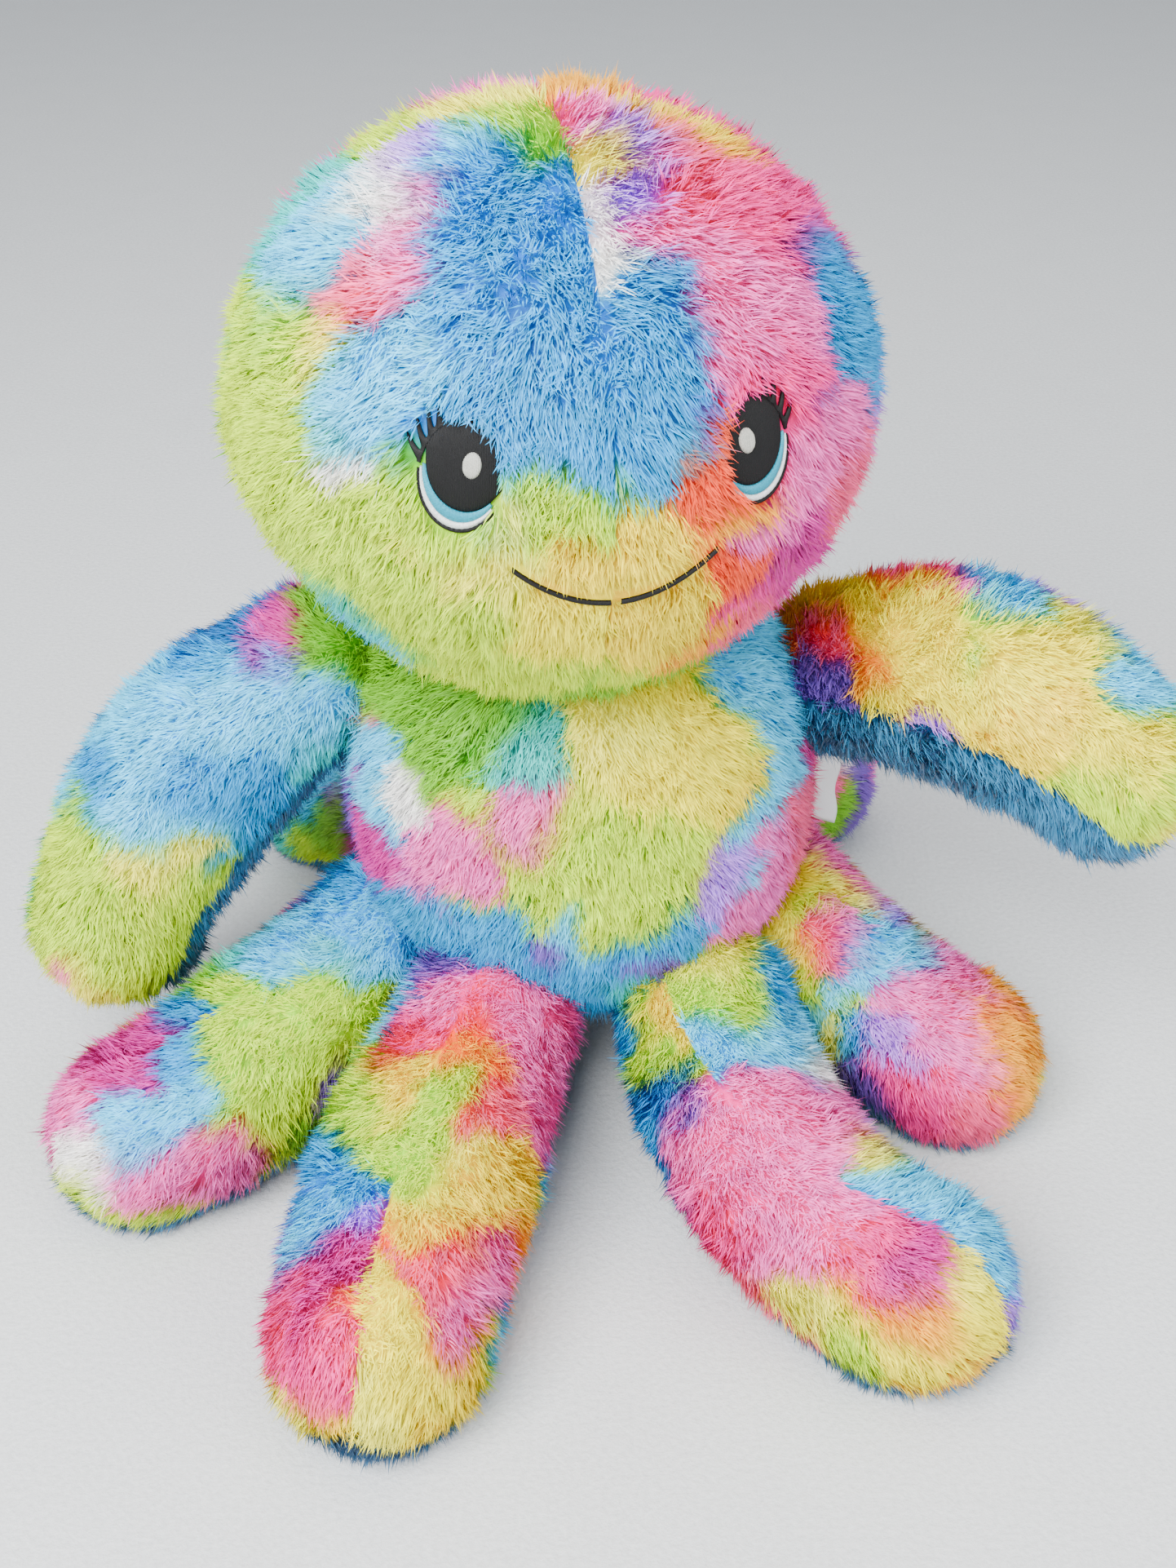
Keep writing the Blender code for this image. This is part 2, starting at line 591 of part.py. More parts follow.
def build_torso(seats):
    """Front, two back halves, underside and stuffing, all with the same round seats cut in."""
    top = 180 - pole_angle(TORSO_UP)
    edge = math.degrees(GAP / 2 / TORSO_DOWN)
    sides = np.linspace(BASE_POLAR + edge, top, BALL_STEPS)
    panels = {"back_left": (-180, -SIDE_SEAM), "front": (-SIDE_SEAM, SIDE_SEAM),
              "back_right": (SIDE_SEAM, 180)}
    pieces = [
        ball_panel(f"torso_{word}", TORSO_CENTRE, torso_reach, sides, azimuths, 0, "plush", (0, 0, 0))
        for word, azimuths in panels.items()]
    around = np.concatenate([divide(*azimuths, BALL_STEP)[:-1] for azimuths in panels.values()])
    under = np.linspace(BASE_POLE, BASE_POLAR - edge, BASE_RINGS)[:, None]
    outer = ball_points(TORSO_CENTRE, torso_reach, under, around[None, :], 0.0)
    inner = ball_points(TORSO_CENTRE, torso_reach, under[::-1], around[None, :], WALL)
    pieces.append(closed_rings("torso_base", np.concatenate([outer, inner]), "under"))
    rows = np.concatenate([under[:, 0], sides])
    pieces.append(ball_filling("torso_stuffing", TORSO_CENTRE, torso_reach, rows, panels.values(), 0,
                               (0, 0, 0)))
    for piece in pieces:
        for seat in seats:
            cut(piece, *seat)


def build_label():
    """A folded satin label standing out of the back right side of the torso."""
    root = torso_surface(LABEL_ROUND, LABEL_POLAR, GAP)
    out = unit(round_from_front(LABEL_ROUND) + np.array([0, 0, -LABEL_DROOP]))
    across = unit(np.cross(out, (0, 0, 1.0)))
    thick = np.cross(across, out)
    along = np.linspace(0, 1, LABEL_GRID[0])[:, None, None]
    width = np.linspace(-0.5, 0.5, LABEL_GRID[1])[None, :, None]
    curl = LABEL_CURL * np.sin(along * LABEL_WAVE)
    middle = root + out * along * LABEL_LENGTH + across * width * LABEL_WIDTH + thick * curl
    middle = middle + out * (LABEL_CUP * (2 * width) ** 2) * (1 - along)
    half = thick * LABEL_THICK / 2
    patch("care_label", middle + half, middle - half, "label")


def build_closing():
    """The row of stitches that closes the middle seam of the back, as one band of thread."""
    steps = np.linspace(*CLOSING_POLARS, CLOSING_STEPS)[None, :]
    half = math.degrees(CLOSING_WIDTH / 2 / TORSO_HALF_DEPTH)
    azimuth = np.array([[180 - half], [180 + half]])
    sheets = [ball_points(TORSO_CENTRE, torso_reach, steps, azimuth, -level)
              for level in (CLOSING_ABOVE + STITCH, CLOSING_ABOVE)]
    patch("back_closing_stitches", *sheets, "white")


build_head()
build_neck()
seats = [(tuple(HEAD_CENTRE), HEAD_HALF_HEIGHT + JOINT_GAP, HEAD_SEAT_FINE)]
pivots = {"head": HEAD_CENTRE}
for word, shape in LEGS.items():
    pivots[f"leg_{word}"] = make_leg(word, *shape)
    seats.append((tuple(pivots[f"leg_{word}"]), LEG_ROOT_RADIUS + JOINT_GAP, LIMB_SEAT_FINE))
for word, shape in ARMS.items():
    pivots[f"arm_{word}"] = make_arm(word, *shape)
    seats.append((tuple(pivots[f"arm_{word}"]), ARM_ROOT_RADIUS + JOINT_GAP, LIMB_SEAT_FINE))
build_torso(seats)
build_label()
build_closing()


def stand_on_origin():
    """Moves everything so that the origin lies on the floor, under the middle of the toy's box."""
    bpy.context.view_layer.update()
    corners = np.array([o.matrix_world @ v.co for o in bpy.context.collection.objects
                        for v in o.data.vertices])
    middle = (corners.min(0) + corners.max(0)) / 2
    shift = Vector((-middle[0], -middle[1], -corners[:, 2].min()))
    for thing in bpy.context.collection.objects:
        thing.location += shift


stand_on_origin()
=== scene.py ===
"""Soft octopus toy: long dyed pile on every panel, an embroidered face and a satin label.

The round parts repeat the sewing pattern's own formulas: head and torso are distances from a middle
in every direction, and each limb is a bent sausage round its joint. Metres, front towards -Y.
"""

import json
import math

import bpy
import numpy as np
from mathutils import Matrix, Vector


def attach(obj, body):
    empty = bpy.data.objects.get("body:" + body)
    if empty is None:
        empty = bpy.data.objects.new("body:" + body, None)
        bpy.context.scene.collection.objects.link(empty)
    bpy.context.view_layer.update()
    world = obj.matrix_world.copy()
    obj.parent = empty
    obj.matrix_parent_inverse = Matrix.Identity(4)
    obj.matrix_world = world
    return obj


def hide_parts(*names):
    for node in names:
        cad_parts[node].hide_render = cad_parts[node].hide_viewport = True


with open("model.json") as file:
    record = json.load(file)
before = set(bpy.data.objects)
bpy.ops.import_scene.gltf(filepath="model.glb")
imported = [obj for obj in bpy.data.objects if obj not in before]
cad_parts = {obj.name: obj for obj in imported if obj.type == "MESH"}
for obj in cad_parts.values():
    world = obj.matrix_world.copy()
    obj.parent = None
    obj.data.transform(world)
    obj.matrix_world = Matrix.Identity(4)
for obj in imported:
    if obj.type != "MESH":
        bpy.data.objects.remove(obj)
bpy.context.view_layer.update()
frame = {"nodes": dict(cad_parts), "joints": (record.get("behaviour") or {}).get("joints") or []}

# ---- the sewing pattern, as in the frame
HEAD_HALF = (0.1075, 0.1020, 0.0980)      # width, depth, height
HEAD_BALL_POLAR = 50                      # degrees from straight down: a true ball up to here
HEAD_YAW = 12.0
HEAD_OFF_TORSO = (-0.003, -0.033)         # where the head's middle was set, sideways and ahead
TORSO_HALF = (0.0910, 0.0870)
TORSO_UP = 0.1000
TORSO_DOWN = 0.0920
TORSO_MIDDLE = (0.006, 0.0, 0.131)
TORSO_SHOULDER = 2.9
BASE_POLAR = 45
LEG_RADII = (0.0330, 0.0385, 0.0370)      # root, thickest, foot
FOOT_PRESS = 0.0065
KNEE_HEIGHT = 0.30
SOLE_FROM = 122
ARM_RADII = (0.0310, 0.0375, 0.0325)
ARM_SEAM = 92
SWELL_BY = 0.45
THIN_FROM = 0.60

# heading and length of the first and the second stretch, thickness, tilt of the top seam
LEGS = {
    "front_left": (-22, 0.067, -8, 0.064, 1.04, 0),
    "front_right": (8, 0.072, 58, 0.072, 0.90, 40),
    "side_left": (-40, 0.072, -62, 0.050, 0.98, 0),
    "side_right": (44, 0.056, 66, 0.036, 0.88, 0),
    "rear_left": (-134, 0.062, -122, 0.046, 0.92, 0),
    "rear_right": (144, 0.062, 132, 0.046, 0.92, 0),
}
# middle and hand from the shoulder, and the direction of the arm's top
ARMS = {
    "left": ((-0.060, -0.010, -0.030), (-0.088, -0.026, -0.104), (-0.35, -0.75, 0.55)),
    "right": ((0.046, -0.042, 0.034), (0.090, -0.062, -0.002), (0.0, 0.0, 1.0)),
}

# ---- pile
BACKING_DEPTH = 0.0026   # cloth under the pattern's surface, which runs through the pile
PILE = 0.0102            # length of a fibre
PILE_UNDER = 0.0112      # on the plain undersides
LEAN = 0.56              # how far a fibre leans along the lie of the pile
FIBRES = 1.45e6          # to a square metre
TUFT = 9                 # fibres drawn together into one tuft
TUFT_RADIUS = 0.0030
FIBRE_HALF_WIDTH = 0.00027
CELL = 0.0034            # grid step of the backing
MELT = 2.7               # how sharply one dye gives way to the next
UPRIGHT = 0.62           # how far it stands up, on the scale of LEAN
PARTING = 0.18           # how far the pile beside a seam turns away from it
PARTING_BAND = 0.010
WHIRLS = ((0.30, 0.034, 3), (0.20, 0.013, 6))   # strength, size and seed of the bends in the lie
STRAY = 0.30             # of one tuft from the lie
SEAM_LENGTH = 0.78       # share of its length that the pile has in a seam
SEAM_BAND = 0.006
GATHER = 0.70            # share of a tuft's width that is left at its tips
FRAY = 0.0009            # of one tip from its place in the tuft
ARCH = 0.085             # bulge of a fibre's middle, to its length
TONE_SPREAD = 0.055      # of brightness, from tuft to tuft and from fibre to fibre
FLOOR_GAP = 0.0003       # between the lowest fibres and the floor

JOINTS = {j["name"]: np.array(j["pos_m"]) for j in frame["joints"]}
HEAD = JOINTS["head_nod"]
SHIFT = np.array([HEAD[0] - HEAD_OFF_TORSO[0], HEAD[1] - HEAD_OFF_TORSO[1], 0.0])
TORSO = SHIFT + TORSO_MIDDLE

# ---- dye colours, as a dyer names them
DYES = {
    "cyan": "00A2E2", "sky": "48D2FC", "deep": "0472BC", "aqua": "20CCC4", "lime": "CCEE08",
    "leaf": "78C404", "yellow": "FFF200", "gold": "FFE400", "straw": "FCF648", "orange": "FFAE00",
    "coral": "FF4E1C", "pink": "FF2A96", "rose": "FF68C2", "magenta": "D41C98", "salmon": "FF5086",
    "violet": "7A52BE", "lilac": "C084FA", "cream": "FFFCF8", "under": "0A7CAC",
}


def linear(code):
    """A colour written as six hex digits, as linear light: each part to the power 2.4, bent low."""
    part = np.array([int(code[k:k + 2], 16) / 255 for k in (0, 2, 4)])
    return np.where(part <= 0.04045, part / 12.92, ((part + 0.055) / 1.055) ** 2.4)


def unit(v):
    """The vectors of an array, each at length one."""
    return v / np.maximum(np.linalg.norm(v, axis=-1, keepdims=True), 1e-12)


def smooth(x):
    """0 below 0, 1 above 1 and an even rise between."""
    x = np.clip(x, 0.0, 1.0)
    return x * x * (3 - 2 * x)


def heading(azimuth):
    """The level direction that many degrees round from the front, + towards +X."""
    a = math.radians(azimuth)
    return np.array([math.sin(a), -math.cos(a), 0.0])


def ripple(points, size, seed, waves=9):
    """Smooth noise of about -1 to 1: the mean of sine waves of that wavelength in random directions."""
    draw = np.random.default_rng(seed)
    ways = unit(draw.normal(size=(waves, 3))) * draw.uniform(0.6, 1.5, (waves, 1)) * (2 * math.pi / size)
    phase = draw.uniform(0, 2 * math.pi, waves)
    return np.sin(points @ ways.T + phase).sum(-1) * 1.6 / waves ** 0.5 / 1.4


def ripples(points, size, seed):
    """Three of those noises as a vector."""
    return np.stack([ripple(points, size, seed + k) for k in range(3)], axis=-1)


# ---- surfaces

def torso_reach(way):
    """Middle to surface: an egg, elliptic below and squarer at the shoulders."""
    level = np.hypot(way[..., 0] / TORSO_HALF[0], way[..., 1] / TORSO_HALF[1])
    upper = level ** TORSO_SHOULDER + (np.abs(way[..., 2]) / TORSO_UP) ** TORSO_SHOULDER
    lower = level ** 2 + (way[..., 2] / TORSO_DOWN) ** 2
    return np.where(way[..., 2] > 0, upper ** (-1 / TORSO_SHOULDER), lower ** -0.5)


def head_reach(way):
    """Middle to surface: a true ball below, growing to the head's full width and depth."""
    polar = np.degrees(np.arccos(np.clip(-way[..., 2], -1, 1)))
    full = (np.square(way / np.array(HEAD_HALF)).sum(-1)) ** -0.5
    grown = smooth((polar - HEAD_BALL_POLAR) / (90 - HEAD_BALL_POLAR))
    return HEAD_HALF[2] + grown * (full - HEAD_HALF[2])


def ball(centre, reach, yaw):
    """A surface from polar angle (degrees from straight down) and azimuth (from the front)."""
    t = math.radians(yaw)
    turn = np.array([[math.cos(t), -math.sin(t), 0], [math.sin(t), math.cos(t), 0], [0, 0, 1]])

    def surface(polar, azimuth):
        """The way out at those two angles, times the reach in that direction, turned by the yaw."""
        p, a = np.broadcast_arrays(np.radians(polar), np.radians(azimuth))
        way = np.stack([np.sin(p) * np.sin(a), -np.sin(p) * np.cos(a), -np.cos(p)], axis=-1)
        return (way * reach(way)[..., None]) @ turn.T + centre

    return surface


HEAD_SURFACE = ball(HEAD, head_reach, HEAD_YAW)
TORSO_SURFACE = ball(TORSO, torso_reach, 0.0)


class Limb:
    """A bent sausage: a round root on the joint, a curved middle and a round end."""

    def __init__(self, pivot, middle, end, radii, tops, floor):
        """Tabulates the middle line and radius from the root's pole to the end's pole."""
        root, thick, tip = radii
        s = np.linspace(0, 1, 60)
        u = s[:, None]
        line = (1 - u) ** 2 * pivot + 2 * u * (1 - u) * middle + u ** 2 * end
        way = unit((1 - s)[:, None] * (middle - pivot) + s[:, None] * (end - middle))
        radius = root + (thick - root) * smooth(s / SWELL_BY)
        radius = radius + (tip - thick) * smooth((s - THIN_FROM) / (1 - THIN_FROM))
        near = np.radians(np.linspace(2, 88, 30))
        far = near[::-1]
        self.centre = np.concatenate([pivot - way[0] * (root * np.cos(near))[:, None], line,
                                      end + way[-1] * (tip * np.cos(far))[:, None]])
        self.radius = np.concatenate([root * np.sin(near), radius, tip * np.sin(far)])
        self.way = np.concatenate([np.repeat(way[:1], 30, 0), way, np.repeat(way[-1:], 30, 0)])
        step = np.hypot(np.linalg.norm(np.diff(self.centre, axis=0), axis=1), np.diff(self.radius))
        walk = np.concatenate([[0.0], np.cumsum(step)])
        self.length = walk[89] - walk[30]
        self.share = (walk - walk[30]) / self.length
        self.tops = [np.asarray(top, float) for top in tops]
        self.pivot = pivot
        self.floor = floor

    def surface(self, share, angle):
        """The middle line at that share, plus its radius at that angle from the limb's top."""
        share, angle = np.broadcast_arrays(share, angle)

        def read(table):
            """The table at each share, one column at a time."""
            return np.stack([np.interp(share, self.share, column) for column in table.T], axis=-1)

        centre, way = read(self.centre), unit(read(self.way))
        radius = np.interp(share, self.share, self.radius)[..., None]
        blend = np.clip(share, 0, 1)[..., None]
        top = self.tops[0] + blend * (self.tops[1] - self.tops[0])
        right = unit(np.cross(way, top))
        up = np.cross(right, way)
        a = np.radians(angle)[..., None]
        points = centre + radius * (np.cos(a) * up + np.sin(a) * right)
        if self.floor:
            points[..., 2] = np.maximum(points[..., 2], 0.0)
        return points


def make_limbs():
    """Every arm and leg from its joint and its two stretches."""
    limbs = {}
    for word, (first, reach, turn, foot, stout, seam) in LEGS.items():
        pivot = JOINTS[f"leg_{word}_hip"]
        radii = (LEG_RADII[0], LEG_RADII[1] * stout, LEG_RADII[2] * (1 + stout) / 2)
        knee = pivot + heading(first) * reach
        end = knee + heading(turn) * foot
        end[2] = radii[2] - FOOT_PRESS
        knee[2] = end[2] + KNEE_HEIGHT * (pivot[2] - end[2])
        across = unit(np.cross(end - pivot, (0, 0, 1)))
        tilt = math.radians(seam)
        tops = (math.cos(tilt) * np.array([0, 0, 1.0]) + math.sin(tilt) * across, (0, 0, 1.0))
        limbs[f"leg_{word}"] = Limb(pivot, knee, end, radii, tops, True)
    for word, (middle, hand, top) in ARMS.items():
        pivot = JOINTS[f"arm_{word}_shoulder"]
        limbs[f"arm_{word}"] = Limb(pivot, pivot + middle, pivot + hand, ARM_RADII, (top, top), False)
    return limbs


LIMBS = make_limbs()

# ---- the face, in degrees on the head seen from its middle, and metres
EYE_AZIMUTH = 26.5
EYE_HEIGHT = 10
EYE_HALF = (0.0128, 0.0175)
EYE_LEAN = 8
CRESCENT_LOWEST = 14
CRESCENT_FADE = 98
CRESCENT_BLUNT = 0.8
IRIS_DEEP = 0.42
WHITE_DEEP = 0.20
OUTLINE_DEEP = 0.07
LASH_FAN = (3, 54)
LASHES = 4
MOUTH_HALF_SPAN = 17.7
MOUTH_CORNER = -5.5
MOUTH_LOW = -13.5
MOUTH_BREAK = 0.9
THREAD = 0.00052         # spacing of the satin stitches
CLEAR = -0.0004          # height of the eyes' stitches over the pattern: just below it
MOUTH_CLEAR = 0.0026     # height of the smile's line over the pattern
UNDER_STITCHES = 0.0012  # depth of the cloth under them


def on_face(azimuth, height, across, up, rise):
    """Points on the head: metres across and up from a place in degrees, rise above the pattern."""
    a = azimuth + np.degrees(across / (HEAD_HALF[1] * math.cos(math.radians(height))))
    h = height + np.degrees(up / HEAD_HALF[1])
    p = HEAD_SURFACE(90 + h, a)
    return p + unit(p - HEAD) * np.asarray(rise)[..., None]


def eye_shape(side, share, turn):
    """Across and up in the eye at a share of its outline, turn in degrees anticlockwise from +X."""
    t = np.radians(turn)
    lean = math.radians(EYE_LEAN) * side
    x = share * EYE_HALF[0] * np.cos(t)
    y = share * EYE_HALF[1] * np.sin(t)
    return x * math.cos(lean) - y * math.sin(lean), x * math.sin(lean) + y * math.cos(lean)


def eye_share(side, height, azimuth):
    """How far out of an eye's middle a place on the head is: 1 on the outline; and its turn."""
    x = np.radians(azimuth - EYE_AZIMUTH * side) * HEAD_HALF[1] * math.cos(math.radians(EYE_HEIGHT))
    y = np.radians(height - EYE_HEIGHT) * HEAD_HALF[1]
    lean = -math.radians(EYE_LEAN) * side
    u = (x * math.cos(lean) - y * math.sin(lean)) / EYE_HALF[0]
    v = (x * math.sin(lean) + y * math.cos(lean)) / EYE_HALF[1]
    return np.hypot(u, v), np.degrees(np.arctan2(v, u * side))


def lowest_turn(side):
    """Where round the eye its crescents are deepest."""
    return -90 + CRESCENT_LOWEST * side


def crescent_inner(side, turn, deep):
    """Share of the outline left above a crescent that cuts so deep into it."""
    off = (np.asarray(turn) - lowest_turn(side) + 180) % 360 - 180
    fade = np.clip(off * 90 / CRESCENT_FADE, -90, 90)
    return 1 - deep * np.cos(np.radians(fade)) ** CRESCENT_BLUNT


def mouth_height(azimuth):
    """Height of the smile at an azimuth: a parabola with its corners up."""
    return MOUTH_LOW + (MOUTH_CORNER - MOUTH_LOW) * (azimuth / MOUTH_HALF_SPAN) ** 2


def smile_gap(height, azimuth):
    """Degrees from a place on the head to the smile."""
    beyond = np.maximum(np.abs(azimuth) - MOUTH_HALF_SPAN, 0)
    bounded = np.clip(azimuth, -MOUTH_HALF_SPAN, MOUTH_HALF_SPAN)
    return np.hypot(height - mouth_height(bounded), beyond)


def face_clear(height, azimuth):
    """How open the pile must be at a place on the head: 0 in the embroidery, rising outside it."""
    clear = np.full(np.shape(height), 9.0)
    for side in (-1, 1):
        share, turn = eye_share(side, height, azimuth)
        fan = smooth((turn - LASH_FAN[0] + 4) / 8) * smooth((LASH_FAN[1] + 6 - turn) / 8)
        clear = np.minimum(clear, share - 0.97 - 0.42 * fan)
    return np.minimum(clear, (smile_gap(height, azimuth) - 1.0) / 8.0)


# ---- meshes

def put(name, points, triangles, normals=None, uv=None, colours=None, lift=None, material=None):
    """One object at the origin from arrays of points and triangles, and what goes with them."""
    mesh = bpy.data.meshes.new(name)
    mesh.vertices.add(len(points))
    mesh.vertices.foreach_set("co", np.ascontiguousarray(points, np.float32).ravel())
    mesh.loops.add(triangles.size)
    mesh.loops.foreach_set("vertex_index", triangles.astype(np.int32).ravel())
    mesh.polygons.add(len(triangles))
    mesh.polygons.foreach_set("loop_start", np.arange(0, triangles.size, 3, dtype=np.int32))
    mesh.update(calc_edges=True)
    mesh.polygons.foreach_set("use_smooth", np.ones(len(triangles), bool))
    if uv is not None:
        layer = mesh.uv_layers.new(name="OFBake")
        layer.data.foreach_set("uv", uv[triangles.ravel()].astype(np.float32).ravel())
    if colours is not None:
        layer = mesh.color_attributes.new("dye", "FLOAT_COLOR", "POINT")
        layer.data.foreach_set("color", np.c_[colours, np.ones(len(colours))].astype(np.float32).ravel())
    if lift is not None:
        layer = mesh.attributes.new("lift", "FLOAT", "POINT")
        layer.data.foreach_set("value", lift.astype(np.float32))
    if normals is not None:
        mesh.normals_split_custom_set_from_vertices(normals.astype(np.float32))
    made = bpy.data.objects.new(name, mesh)
    bpy.context.collection.objects.link(made)
    mesh.materials.append(material)
    return made


def grid_triangles(rows, columns, wrap=False):
    """Two triangles for each cell of a grid of points, closed round its columns where wrap is set."""
    r = np.arange(rows - 1)[:, None] * columns
    c = np.arange(columns if wrap else columns - 1)[None, :]
    d = (c + 1) % columns
    a, b, e, f = r + c, r + d, r + columns + d, r + columns + c
    return np.stack([np.stack([a, b, e], -1), np.stack([a, e, f], -1)], 2).reshape(-1, 3)


def read_grid(grid, i, j):
    """A grid's value at fractional row i and column j, in proportion between its four points."""
    r = np.clip(i.astype(int), 0, grid.shape[0] - 2)
    c = np.clip(j.astype(int), 0, grid.shape[1] - 2)
    x, y = i - r, j - c
    if grid.ndim == 3:
        x, y = x[..., None], y[..., None]
    low = grid[r, c] * (1 - y) + grid[r, c + 1] * y
    high = grid[r + 1, c] * (1 - y) + grid[r + 1, c + 1] * y
    return low * (1 - x) + high * x


class Panel:
    """One plush panel: a grid over two parameters with its points, normals, lie and dye places."""

    def __init__(self, surface, rows, columns, outside):
        """Takes the pattern's surface on even rows and columns of its two parameters."""
        def across(values, other):
            """The longest line along the first parameter, in metres."""
            line = surface(values, other)
            return np.linalg.norm(np.diff(line, axis=0), axis=-1).sum()

        high = max(across(np.linspace(*rows, 40), c) for c in np.linspace(*columns, 5))
        wide = max(across(r, np.linspace(*columns, 40)) for r in np.linspace(*rows, 7))
        self.a = np.linspace(*rows, max(8, int(high / CELL)))[:, None]
        self.b = np.linspace(*columns, max(8, int(wide / CELL)))[None, :]
        self.a, self.b = np.broadcast_arrays(self.a, self.b)
        self.points = surface(self.a, self.b)
        down = np.gradient(self.points, axis=0)
        side = np.gradient(self.points, axis=1)
        normal = unit(np.cross(side, down))
        flip = np.sign(((self.points - outside(self.a)) * normal).sum(-1).sum())
        self.normal = normal * flip
        self.step_a = np.linalg.norm(down, axis=-1)
        self.step_b = np.linalg.norm(side, axis=-1)
        self.way_a = unit(down)
        self.way_b = unit(side)
        self.surface = surface


def dye_at(points, surface, patches, seed):
    """The dye at each point: the patch that reaches it most, melted into the next over some mm.

    A patch is two surface parameters, a size in mm and a dye. Its pull at a point is
    exp(-MELT (distance / size)^2), with the point first shaken by smooth noise.
    """
    shaken = points + 0.0060 * ripples(points, 0.055, seed) + 0.0024 * ripples(points, 0.017, seed + 9)
    places = surface(np.array([p[0] for p in patches], float), np.array([p[1] for p in patches], float))
    sizes = np.array([p[2] for p in patches]) / 1000
    colours = np.array([linear(DYES[p[3]]) for p in patches]) ** (1 / 2.2)
    distance = np.square(shaken[:, None] - places).sum(-1)
    pull = -MELT * distance / sizes ** 2
    pull = np.exp(pull - pull.max(1, keepdims=True))
    return ((pull @ colours) / pull.sum(1, keepdims=True)) ** 2.2


def plant_tufts(panel, draw):
    """Rows and columns on the panel's grid of the tufts, and of each tuft's fibres.

    Cells get tufts by their area. The fibres are spread round their tuft's root, and those that
    would stand past an edge are folded back inside.
    """
    rows, columns = panel.a.shape
    area = panel.step_a * panel.step_b
    cells = (area[:-1, :-1] + area[1:, 1:]) / 2
    tufts = int(cells.sum() * FIBRES / TUFT)
    even = (np.arange(tufts) + draw.random(tufts)) / tufts
    pick = np.minimum(np.searchsorted(np.cumsum(cells.ravel()) / cells.sum(), even), cells.size - 1)
    ti = pick // (columns - 1) + draw.random(tufts)
    tj = pick % (columns - 1) + draw.random(tufts)
    spread = draw.normal(0, TUFT_RADIUS / 1.5, (2, tufts, TUFT))
    step_a = read_grid(panel.step_a, ti, tj)[:, None]
    step_b = read_grid(panel.step_b, ti, tj)[:, None]
    i = ti[:, None] + np.clip(spread[0] / step_a, -3, 3)
    j = tj[:, None] + np.clip(spread[1] / np.maximum(step_b, 1e-5), -3, 3)
    i = rows - 1 - np.abs(rows - 1 - np.abs(i))
    j = columns - 1 - np.abs(columns - 1 - np.abs(j))
    edge = np.minimum(tj, columns - 1 - tj) * step_b[:, 0]
    return ti, tj, i, j, edge


def comb_tufts(panel, ti, tj, edge, root, flow, seed, pile, draw):
    """The way from each tuft's root to its tip, in metres.

    The lie is the flow along the panel, bent a little away from the seams, with whirls of two sizes
    and some stray. The tuft stands up by UPRIGHT and leans along the lie by about LEAN.
    """
    columns = panel.a.shape[1]
    normal = unit(read_grid(panel.normal, ti, tj))
    way_a, way_b = read_grid(panel.way_a, ti, tj), read_grid(panel.way_b, ti, tj)
    along, sideways = flow(read_grid(panel.a, ti, tj), read_grid(panel.b, ti, tj))
    open_side = np.sign(tj - (columns - 1) / 2) * (1 - smooth(edge / PARTING_BAND))
    lie = way_a * along[:, None] + way_b * (sideways - PARTING * open_side)[:, None]
    lie = unit(lie)
    for strength, size, offset in WHIRLS:
        lie = lie + strength * ripples(root, size, seed + offset)
    lie = lie + draw.normal(0, STRAY, lie.shape)
    lie = lie - normal * (lie * normal).sum(-1, keepdims=True)
    lean = LEAN * (0.85 + 0.35 * draw.random((len(root), 1)))
    length = pile * (0.72 + 0.42 * draw.random(len(root)))
    length = length * (SEAM_LENGTH + (1 - SEAM_LENGTH) * smooth(edge / SEAM_BAND))
    return unit(normal * UPRIGHT + lie * lean) * length[:, None]


def grid_skin(panel, cloth, keep):
    """Triangles of the backing, facing out, without those that lie wholly where keep says no."""
    skin = grid_triangles(*panel.a.shape)
    corner = cloth[skin]
    facing = np.cross(corner[:, 1] - corner[:, 0], corner[:, 2] - corner[:, 0])
    if (facing * panel.normal.reshape(-1, 3)[skin[:, 0]]).sum() < 0:
        skin = skin[:, ::-1]
    return skin if keep is None else skin[keep(cloth)[skin].any(1)]


